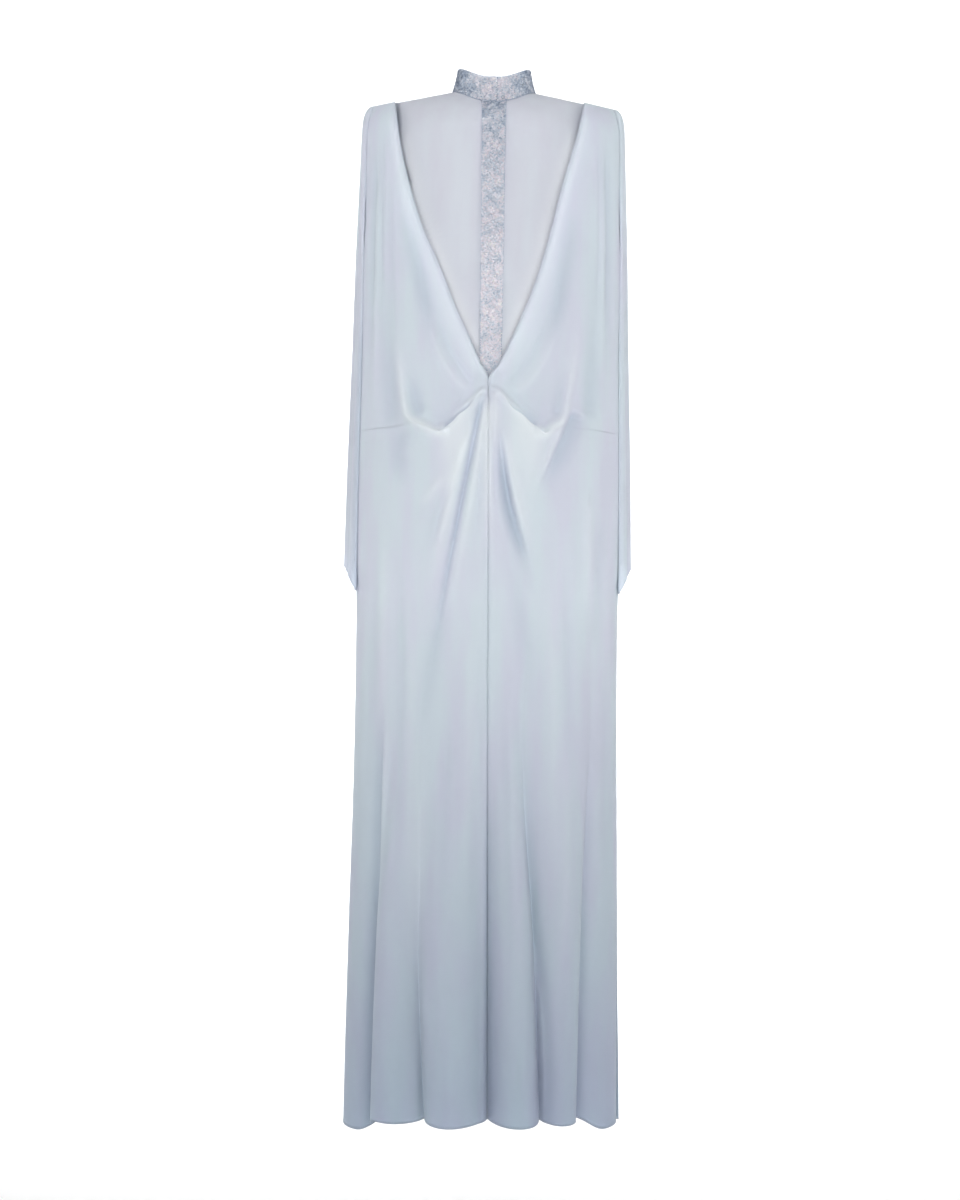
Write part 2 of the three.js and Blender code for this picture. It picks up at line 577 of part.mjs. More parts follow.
// A point of the neckline, on the bodice's form; angle 0 is the centre.
function neckline(face, angle, grow = 0) {
  const x = (NECK.half + grow) * Math.sin(angle);
  const y = (face === "front" ? -1 : 1) * (NECK[face] + grow) * Math.abs(Math.cos(angle));
  return new THREE.Vector3(x, y, heightAt(INNER, face, x, y));
}

function bodicePoints(face, side) {
  const edge = side < 0 ? "right" : "left";
  const columns = NECK_COLUMNS + SHOULDER_COLUMNS + 1;
  const seam = SEAM / 2;
  return grid(BODICE_ROWS, columns, (r, c) => {
    const inNeck = c <= NECK_COLUMNS;
    const shoulder = (c - NECK_COLUMNS) / SHOULDER_COLUMNS;
    const topX = inNeck
      ? Math.max(seam, NECK.half * Math.sin((Math.PI / 2) * (c / NECK_COLUMNS)))
      : mix(NECK.half, read(BODICE_EDGE, edge, 0), shoulder);
    const top = inNeck
      ? neckline(face, (Math.PI / 2) * (c / NECK_COLUMNS))
      : new THREE.Vector3(topX, 0, topOf(INNER, topX));
    top.x = side * topX;
    if (Math.abs(top.y) < seam) top.y = face === "front" ? -seam : seam + BODICE_BACK_SET;
    if (face === "back") top.z -= BODICE_BACK_DIP * smooth(clamp(c / NECK_COLUMNS, 0, 1));
    if (r === 0) return top;
    const half = (z) => read(INNER, "half", z);
    const share = turnOf(topX, half(0)) / turnOf(read(BODICE_EDGE, edge, 0), half(0));
    const forward = inNeck ? shareAt(INNER, face, top) : 0;
    const z = rowZ(r, BODICE_ROWS - 1, topOf(INNER, topX), forward, BODICE_END_Z);
    const x = side * Math.max(seam, widthAt(share * turnOf(read(BODICE_EDGE, edge, z), half(z)), half(z)));
    const y = depthAt(INNER, face, x, z);
    const held = face === "front" ? Math.min(y, -seam) : Math.max(y, seam + BODICE_BACK_SET);
    return new THREE.Vector3(x, held, z);
  });
}

for (const [name, side] of [["bodice_front_right", -1], ["bodice_front_left", 1]]) {
  const points = bodicePoints("front", side);
  if (side < 0) points.forEach((line) => line.reverse());
  const front = cloth(points, (sunk) => {
    sunk.y = Math.min(sunk.y, -SEAM / 2);
  });
  sew(name, wall(front), SHEER);
}
const backHalves = [1, -1].map((side) => bodicePoints("back", side));
const bodiceBack = backHalves[0].map((line, r) => [...line.slice(1).reverse(), ...backHalves[1][r]]);
sew("bodice_back", wall(cloth(bodiceBack)), SHEER);

// ---- Beaded collar and centre-front band ----
const COLLAR_COLUMNS = 36;
const COLLAR_ROWS = 3;
const COLLAR_LIFT = 0.8; // the collar's foot over the bodice's neckline

function collar() {
  const slit = Math.asin(COLLAR_SLIT_X / NECK.half);
  const halfGap = SEAM / NECK.half;
  const shell = (outset) =>
    grid(COLLAR_ROWS, COLLAR_COLUMNS + 1, (r, c) => {
      const angle = mix(slit + halfGap, slit + 2 * Math.PI - halfGap, c / COLLAR_COLUMNS);
      const face = Math.cos(angle) > 0 ? "front" : "back";
      const foot = neckline(face, Math.abs(Math.asin(Math.sin(angle))));
      const grow = outset - BEADED / 2;
      const base = new THREE.Vector3(
        (NECK.half + grow) * Math.sin(angle),
        -Math.cos(angle) * (NECK[face] + grow),
        foot.z + COLLAR_LIFT,
      );
      const rim = new THREE.Vector3(
        (COLLAR_RIM.half + grow) * Math.sin(angle),
        COLLAR_RIM.lean - Math.cos(angle) * (COLLAR_RIM[face] + grow),
        foot.z + mix(COLLAR_HEIGHT.side, COLLAR_HEIGHT[face], Math.cos(angle) ** 2),
      );
      return base.lerp(rim, 1 - r / (COLLAR_ROWS - 1));
    });
  return wall({ points: shell(BEADED), under: shell(0) });
}

sew("collar", collar(), BEADS);

// The band lies on the two bodice fronts, so it is made from their points, moved out.
function band() {
  const fronts = [-1, 1].map((side) => bodicePoints("front", side));
  const pointAt = (line, x) => {
    const outer = line.findIndex((p) => Math.abs(p.x) > x);
    const from = line[outer - 1];
    return from.clone().lerp(line[outer], (x - Math.abs(from.x)) / Math.abs(line[outer].x - from.x));
  };
  const strip = fronts[0].map((right, r) => {
    const left = fronts[1][r];
    const half = mix(BAND.half_top, BAND.half_end, r / (BODICE_ROWS - 1));
    const centre = right[0].clone().lerp(left[0], 0.5);
    const ends = [right, left].map((line) => [pointAt(line, half), pointAt(line, half / 2)]);
    return [...ends[0], centre, ...ends[1].reverse()];
  });
  strip[0] = strip[0].map((p, c) => p.clone().lerp(strip[1][c], BAND.top_share));
  return wall({ points: movedOut(strip, BAND.lift + BEADED), under: movedOut(strip, BAND.lift) });
}

sew("front_band", band(), BEADS);

// ---- Sleeves ----
const SLEEVE_ROWS = 17;
const SLEEVE_COLUMNS = 12;
const UNDER_ROWS = 11;
const UNDER_COLUMNS = 6;

// The sleeve's inside edge: on the armhole above the underarm, beside the kaftan's side below it.
function sleeveInside(z) {
  const clear = read(OUTER, "half", z) + SLEEVE_INSIDE;
  const left = clamp((z - SLEEVE_LEAVES_Z) / (UNDERARM_Z - SLEEVE_LEAVES_Z), 0, 1);
  return mix(read(RIGHT_FRONT, "side", z) + 1, clear, smooth(left));
}

function sleevePoint(side, angle, z) {
  const inside = sleeveInside(z);
  const reach = read(SLEEVE, "outer", z) - inside;
  const front = read(SLEEVE, "front", z);
  const back = read(SLEEVE, "back", z);
  const ripple = read(SLEEVE, "ripple", z);
  const full = reach * Math.cos(angle) ** SLEEVE_FULLNESS;
  const wave = Math.cos(RIPPLES.count * angle + RIPPLES.phase) * Math.cos(angle) ** 2;
  return new THREE.Vector3(
    side * (inside + full + ripple * (wave - RIPPLES.sink * Math.cos(angle))),
    mix(front, back, (1 + Math.sin(angle)) / 2),
    z,
  );
}

function sleeveOver(side) {
  const points = grid(SLEEVE_ROWS, SLEEVE_COLUMNS + 1, (r, c) => {
    const angle = mix(-Math.PI / 2, Math.PI / 2, c / SLEEVE_COLUMNS);
    const cuff = mix(CUFF.inner_z, CUFF.outer_z, Math.cos(angle) ** CUFF_EASE);
    const z = mix(SLEEVE[0].z, cuff, (r / (SLEEVE_ROWS - 1)) ** SLEEVE_ROW_SPREAD);
    return sleevePoint(side, angle, z);
  }, side < 0);
  return cutAtColumn(cloth(points), SLEEVE_COLUMNS / 2);
}

function sleeveUnder(side) {
  const points = grid(UNDER_ROWS, UNDER_COLUMNS + 1, (r, c) => {
    const z = mix(UNDERARM_Z - 1, CUFF.inner_z, r / (UNDER_ROWS - 1));
    const front = read(SLEEVE, "front", z) + CLOTH + SEAM;
    const back = read(SLEEVE, "back", z) - CLOTH - SEAM;
    return new THREE.Vector3(side * (sleeveInside(z) + 0.1), mix(front, back, c / UNDER_COLUMNS), z);
  }, side < 0);
  return wall(cloth(points));
}

for (const [name, side] of [["right", -1], ["left", 1]]) {
  const [first, second] = sleeveOver(side);
  const [front, back] = side > 0 ? [first, second] : [second, first];
  sew(`sleeve_${name}_front`, wall(front), CHIFFON);
  sew(`sleeve_${name}_back`, wall(back), CHIFFON);
  sew(`sleeve_${name}_under`, sleeveUnder(side), CHIFFON);
}

export default kaftan;
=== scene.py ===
# %% [markdown]
# # A chiffon kaftan, dressed cell by cell
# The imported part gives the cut: one stiff wall for each panel, hanging from the neck. This script
# keeps that form and makes it cloth. Each panel is a fine grid laid over the same sections as its
# wall, then creased and rolled at its edges, and given its thickness. The collar and the front
# band are covered in sequins, each a small dished disc.

import math

import bpy
import numpy as np
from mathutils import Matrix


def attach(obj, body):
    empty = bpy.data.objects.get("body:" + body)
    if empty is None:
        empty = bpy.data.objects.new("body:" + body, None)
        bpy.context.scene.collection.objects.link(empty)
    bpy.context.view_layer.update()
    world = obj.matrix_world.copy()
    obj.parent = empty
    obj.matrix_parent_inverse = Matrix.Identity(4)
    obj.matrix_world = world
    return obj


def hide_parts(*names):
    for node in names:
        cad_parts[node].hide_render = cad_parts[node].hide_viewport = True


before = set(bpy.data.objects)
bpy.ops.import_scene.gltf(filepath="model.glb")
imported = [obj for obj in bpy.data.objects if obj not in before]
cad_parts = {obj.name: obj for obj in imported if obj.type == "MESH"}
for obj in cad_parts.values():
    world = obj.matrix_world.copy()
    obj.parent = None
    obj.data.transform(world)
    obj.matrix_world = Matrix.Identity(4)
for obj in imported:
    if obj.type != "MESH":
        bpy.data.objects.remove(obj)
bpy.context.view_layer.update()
print("CAD nodes:", ", ".join(sorted(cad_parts)))

# %% [markdown]
# ## Units and small sums
# A dressmaker works in millimetres, so every table here does, and `MM` turns them into Blender's
# metres where a mesh is made. `read` draws a smooth curve through one column of a table, as a
# maker blends from one measured section to the next.

# %% Sums that every panel uses
MM = 0.001


def mix(a, b, s):
    return a + (b - a) * s


def clamp(v):
    return np.clip(v, 0.0, 1.0)


def smooth(s):
    return s * s * (3 - 2 * s)


def ease(v):
    """0 up to nothing, 1 from one on, and a soft rise between."""
    return smooth(clamp(v))


def hump(distance, width):
    """1 on a line, and nothing two widths away from it."""
    return np.exp(-((distance / width) ** 2))


def xyz(x, y, z):
    return np.stack([x, y, z], axis=-1)


def unit(vectors):
    return vectors / np.linalg.norm(vectors, axis=-1, keepdims=True)


def gaps(points, axis=0):
    """Distances between neighbours in a line or a grid of points."""
    return np.linalg.norm(np.diff(points, axis=axis), axis=-1)


def run_of(steps):
    """Distance from the first point to each one, from the steps between them."""
    return np.concatenate([[0], np.cumsum(steps)])


def spline(pick, t):
    """A smooth line through neighbours, between the ones that pick(0) and pick(1) give."""
    a, b, c, d = (pick(k) for k in (-1, 0, 1, 2))
    bent = (2 * a - 5 * b + 4 * c - d) * t**2 + (3 * b - a - 3 * c + d) * t**3
    return 0.5 * (2 * b + (c - a) * t + bent)


def table(names, *rows):
    """Columns by name, in the order of the first one."""
    values = np.array(sorted(rows), dtype=float)
    return {name: values[:, i] for i, name in enumerate(names.split())}


def read(columns, name, at):
    """A smooth curve through a column, level beyond its ends."""
    keys = next(iter(columns.values()))
    values = columns[name]
    steep = np.diff(values) / np.diff(keys)
    before, after = steep[:-1], steep[1:]
    same_way = before * after > 0
    total = np.where(same_way, before + after, 1.0)
    inner = np.where(same_way, 2 * before * after / total, 0.0)
    slope = np.concatenate([steep[:1], inner, steep[-1:]])
    at = np.asarray(at, dtype=float)
    i = np.clip(np.searchsorted(keys, at) - 1, 0, len(keys) - 2)
    run = keys[i + 1] - keys[i]
    s = clamp((at - keys[i]) / run)
    bend = (1 - s) * slope[i] - s * slope[i + 1]
    return mix(values[i], values[i + 1], smooth(s)) + run * s * (1 - s) * bend


# %% [markdown]
# ## The camera
# It stands level with the middle of the gown, 3.1 m off, and leans by less than a degree. A long
# lens keeps the sides upright. The frame is 1.8 m tall where the gown hangs. Blender measures the
# sensor along the longer side of an upright frame, which is why no sensor fit is set.

# %% Camera
MID_HEIGHT = -0.756
CAMERA_DISTANCE = 3.1
FRAME_HEIGHT = 1.8
CAMERA_X = -0.0106
CAMERA_LEAN = math.radians(-0.78)

bpy.ops.object.camera_add(
    location=(CAMERA_X, -CAMERA_DISTANCE, MID_HEIGHT), rotation=(math.pi / 2, CAMERA_LEAN, 0)
)
camera = bpy.context.object
camera.data.lens = camera.data.sensor_width * CAMERA_DISTANCE / FRAME_HEIGHT
bpy.context.scene.camera = camera
print("lens", round(camera.data.lens, 1), "mm")

# %% [markdown]
# ## The form of the gown
# There are two rounded forms, the kaftan outside and the sheer bodice inside it. A level cut
# through either is a squared-off ellipse. The shoulder seam slopes down outwards, and below it
# the cloth turns over the shoulder until it hangs upright.

# %% Sections of the kaftan and of the bodice
SHOULDER_Z, SHOULDER_FALL, SHOULDER_ROLL = 4, 0.19, 70
SQUARENESS = 2.4
NECK_HALF, NECK_FRONT, NECK_BACK = 61, 74, 48
BODICE_DROP = 1.7
BODICE_END = -432
UNDERARM = -235
SEAM_HALF = 0.2
ROUND_ROWS = 5
OUTER = table(
    "z half front back",
    (20, 192, 88, 74), (-20, 193, 92, 79), (-60, 194, 99, 90), (-120, 193, 110, 101),
    (-200, 192, 119, 108), (-300, 192, 120, 110), (-440, 193, 114, 108), (-520, 194, 120, 108),
    (-745, 196, 123, 112), (-1100, 199, 125, 118), (-1550, 202, 126, 126),
)
INNER = table(
    "z half front back",
    (20, 160, 78, 62), (-20, 162, 82, 67), (-60, 166, 87, 77), (-120, 168, 96, 88),
    (-200, 164, 104, 94), (-235, 160, 106, 95), (-300, 152, 105, 93), (-440, 146, 99, 88),
)


SIDES = ((-1, "right"), (1, "left"))  # the wearer's


def way(face):
    return -1 if face == "front" else 1


def shoulder_z(x):
    return SHOULDER_Z - SHOULDER_FALL * (np.abs(x) - NECK_HALF - 1)


def top_of(form, x):
    return shoulder_z(x) - (BODICE_DROP if form is INNER else 0)


def rounded(across, power=SQUARENESS):
    """How far forward a squared-off ellipse reaches at a share of its half width."""
    return (1 - across**power) ** (1 / power)


def full_depth(form, face, x, z):
    """Depth of a section at x, before the turn over the shoulder."""
    return read(form, face, z) * rounded(clamp(np.abs(x) / read(form, "half", z)))


def depth_at(form, face, x, z):
    turned = np.sqrt(1 - (1 - clamp((top_of(form, x) - z) / SHOULDER_ROLL)) ** 2)
    return way(face) * full_depth(form, face, x, z) * turned


def share_at(form, face, x, y, z):
    return np.abs(y) / np.maximum(full_depth(form, face, x, z), 0.01)


def height_at(form, face, x, y):
    """Height of the form at a place given from above, for a neckline."""
    z = np.zeros_like(np.asarray(x, dtype=float))
    for _ in range(6):
        share = clamp(share_at(form, face, x, y, z))
        z = top_of(form, x) - SHOULDER_ROLL * (1 - np.sqrt(1 - share**2))
    return z


def outwards(form, face, x, z):
    """The level direction out of a section, as its x and y."""
    half, deep = read(form, "half", z), read(form, face, z)
    across = clamp(np.abs(x) / half)
    out_x = np.sign(x) * across ** (SQUARENESS - 1) / half
    out_y = way(face) * rounded(across) ** (SQUARENESS - 1) / deep
    size = np.hypot(out_x, out_y)
    return out_x / size, out_y / size


def turn_of(x, half):
    return np.arcsin(clamp(np.abs(x) / half) ** (SQUARENESS / 2)) * np.sign(x)


def width_at(turn, half):
    sine = np.sin(turn)
    return half * np.sign(sine) * np.abs(sine) ** (2 / SQUARENESS)


def row_z(r, last, apex, share, end):
    """The first rows turn over the shoulder, and the rest go down evenly to end."""
    turn = mix(np.arcsin(clamp(share)), np.pi / 2, np.minimum(r / ROUND_ROWS, 1))
    down = np.maximum(0, (r - ROUND_ROWS) / (last - ROUND_ROWS))
    return mix(apex - SHOULDER_ROLL * (1 - np.cos(turn)), end, down)


print("half width at the hem:", float(read(OUTER, "half", -1540)), "mm")

# %% [markdown]
# ## Colours and finishes
# Chiffon is a plain weave of hard-twisted yarn, near 20 threads to the centimetre. It is matt,
# with a faint sheen where it turns away. The threads are 0.5 mm apart, too fine to show from three
# metres, so the grain here is drawn three times as coarse. The crest of a fold is painted paler, a
# painted highlight, and a trough bluer, a painted shade. Each sheet carries this painted light as an
# attribute, from -1 in a trough to 1 on a crest. The skirt is painted darker towards the hem, as
# shade.

# %% Colour and node helpers
MIX_FACTOR, MIX_A, MIX_B, MIX_RESULT = 0, 6, 7, 2  # a colour Mix node's sockets


def linear(hex_colour):
    """An sRGB hex colour as Blender's linear one."""
    channels = [int(hex_colour[i : i + 2], 16) / 255 for i in (1, 3, 5)]
    return [c / 12.92 if c <= 0.04045 else ((c + 0.055) / 1.055) ** 2.4 for c in channels] + [1.0]


def node(material, kind, settings=None, links=None):
    """Adds a node. Settings are its own properties or its inputs, and links feed its inputs."""
    made = material.node_tree.nodes.new(kind)
    for key, value in (settings or {}).items():
        if isinstance(key, int) or key in made.inputs:
            made.inputs[key].default_value = value
        else:
            setattr(made, key, value)
    for key, source in (links or {}).items():
        material.node_tree.links.new(source, made.inputs[key])
    return made


def finish_called(name, roughness):
    """A new material and its shader."""
    material = bpy.data.materials.new(name)
    material.use_nodes = True
    shader = material.node_tree.nodes["Principled BSDF"]
    shader.inputs["Roughness"].default_value = roughness
    return material, shader


def place_on(material):
    """The place on the piece itself, which every pattern is drawn by."""
    return node(material, "ShaderNodeTexCoord").outputs["Object"]


def noise(material, place, scale, detail=2.0):
    """A cloudy pattern, finer as the scale grows."""
    made = node(material, "ShaderNodeTexNoise", {"Scale": scale, "Detail": detail}, {"Vector": place})
    return made.outputs["Fac"]


def ramp(material, factor, *tones):
    """Colours by position, from 0 to 1."""
    made = node(material, "ShaderNodeValToRGB", links={"Fac": factor})
    elements = made.color_ramp.elements
    elements.remove(elements[0])
    elements[0].position, elements[0].color = tones[0][0], linear(tones[0][1])
    for position, colour in tones[1:]:
        elements.new(position).color = linear(colour)
    return made.outputs["Color"]


def map_range(material, value, start, end, low, high):
    settings = {"From Min": start, "From Max": end, "To Min": low, "To Max": high}
    return node(material, "ShaderNodeMapRange", settings, {"Value": value}).outputs["Result"]


def blend(material, share, colour, tone, way_of_mixing="MIX"):
    """The colour so far, turned towards another tone by a share."""
    settings = {"data_type": "RGBA", "blend_type": way_of_mixing, MIX_B: linear(tone)}
    made = node(material, "ShaderNodeMix", settings, {MIX_FACTOR: share, MIX_A: colour})
    return made.outputs[MIX_RESULT]


def feed(material, shader, **sources):
    """Links outputs to the shader's inputs; an underscore stands for a space."""
    for name, source in sources.items():
        material.node_tree.links.new(source, shader.inputs[name.replace("_", " ")])


# %% Chiffon
GRAIN = 1.5 * MM
CLOUD = 45 * MM  # how wide the faint drifts of tone are
DRIFT_FROM, DRIFT_TO = 0.38, 0.62
PAINTED_FOLD_SHARE = 0.85  # how much of its painted highlight or painted shade a full crest or trough takes
HEM_SHADE_BETWEEN = (-0.75, -1.6)  # heights in metres, between which painted shade deepens the skirt's tone towards the hem
GLOW, GLOW_REACH = 0.9, 4 * MM  # light passes through the thin cloth, so a hollow behind it glows


def chiffon(name, pale, lilac, crest_highlight, trough_shade, low, sheen):
    """Tones: two that drift over it, a painted highlight for crests, a painted shade for troughs, and
    a painted shade towards the hem.
    """
    material, shader = finish_called(name, roughness=0.8)
    place = place_on(material)
    long_drifts = {"Scale": (1 / CLOUD, 1 / CLOUD, 0.2 / CLOUD)}
    drawn = node(material, "ShaderNodeMapping", long_drifts, {"Vector": place})
    drift = noise(material, drawn.outputs["Vector"], 1.0, detail=3.0)
    colour = ramp(material, drift, (DRIFT_FROM, lilac), (DRIFT_TO, pale))
    fold = node(material, "ShaderNodeAttribute", {"attribute_name": "fold"}).outputs["Fac"]
    # painted highlight on crests and painted shade in troughs
    for towards, tone in ((1.0, crest_highlight), (-1.0, trough_shade)):
        share = map_range(material, fold, 0.0, towards, 0.0, PAINTED_FOLD_SHARE)
        colour = blend(material, share, colour, tone)
    # painted shade, darker towards the hem
    height = node(material, "ShaderNodeSeparateXYZ", links={"Vector": place}).outputs["Z"]
    hem_shading = map_range(material, height, *HEM_SHADE_BETWEEN, 0.0, 1.0)
    colour = blend(material, hem_shading, colour, low, "MULTIPLY")
    grain = noise(material, place, 1 / GRAIN)
    bump = {"Strength": 0.15, "Distance": 0.3 * MM}
    relief = node(material, "ShaderNodeBump", bump, {"Height": grain})
    feed(material, shader, Base_Color=colour, Normal=relief.outputs["Normal"])
    shader.subsurface_method = "BURLEY"
    for key, value in {
        "Specular IOR Level": 0.25, "Subsurface Weight": GLOW, "Subsurface Radius": (1.0, 1.0, 1.0),
        "Subsurface Scale": GLOW_REACH, "Sheen Weight": sheen, "Sheen Roughness": 0.5,
    }.items():
        shader.inputs[key].default_value = value
    return material


# the kaftan's chiffon, which always lies over another layer, and the bodice's single layer
OUTER_CLOTH = chiffon(
    "chiffon_two_layers", "#d5e0e8", "#d5d9e7", "#e9f0f4", "#bcc8d5", "#abb3bd", sheen=0.12
)
SHEER_CLOTH = chiffon(
    "chiffon_one_layer", "#dbe0e9", "#d8dae5", "#f2f5fa", "#b9c1cd", "#ffffff", sheen=0.1
)
print("cloths:", OUTER_CLOTH.name, SHEER_CLOTH.name)

# %% [markdown]
# ## Sequins and thread
# The sequins are stamped from metal-coated film, so they mirror what is round them in soft
# streaks. Their film shifts from silver blue to lilac and pink from one to the next, which the
# attribute tint carries. The tint also carries painted shade and reflection, which make the
# sequins steel blue at the collar's sides and slit and at the band's top and tip.

# %% Sequin film, backing and thread
FILM_TONES = (
    (0.0, "#a4b3ca"), (0.3, "#cad5e4"), (0.55, "#e8ecf5"), (0.75, "#f2eff8"), (0.9, "#f9f2f9"),
    (1.0, "#ffffff"),
)
sequin_film, shader = finish_called("metal_coated_sequin_film", roughness=0.36)
tint = node(sequin_film, "ShaderNodeAttribute", {"attribute_name": "tint"}).outputs["Fac"]
feed(sequin_film, shader, Base_Color=ramp(sequin_film, tint, *FILM_TONES))
shader.inputs["Metallic"].default_value = 0.3


def yarn(name, roughness, scale, dark, pale):
    """Twisted or woven yarn, whose tone varies finely between two colours."""
    material, shader = finish_called(name, roughness)
    varied = noise(material, place_on(material), scale)
    feed(material, shader, Base_Color=ramp(material, varied, (0.0, dark), (1.0, pale)))
    return material


backing = yarn("woven_backing_tape", 0.75, 1 / GRAIN, "#a9b7cc", "#cbd6e4")
thread = yarn("twisted_polyester_thread", 0.55, 1 / (0.4 * MM), "#bccadb", "#e9eff5")

# the hook's wire is steel with a bright nickel plate, dulled here and there by scuffs
plated_steel, shader = finish_called("nickel_plated_steel", roughness=0.4)
shader.inputs["Base Color"].default_value = linear("#aab4c0")
shader.inputs["Metallic"].default_value = 1.0
scuffs = noise(plated_steel, place_on(plated_steel), 1 / (0.8 * MM))
feed(plated_steel, shader, Roughness=map_range(plated_steel, scuffs, 0.0, 1.0, 0.25, 0.5))
print("sequin tones:", len(FILM_TONES))

# %% [markdown]
# ## Creases
# Chiffon falls in long soft creases that start at a point where it is held: the gather at the
# waist, the shoulders, and the two low corners of the swags. Each is a line of points on the front
# with a height, a width on either side of it, and how slowly it begins and ends. Troughs have a
# negative height. A sharp side and a slack side make a crease look folded over, not drawn on.

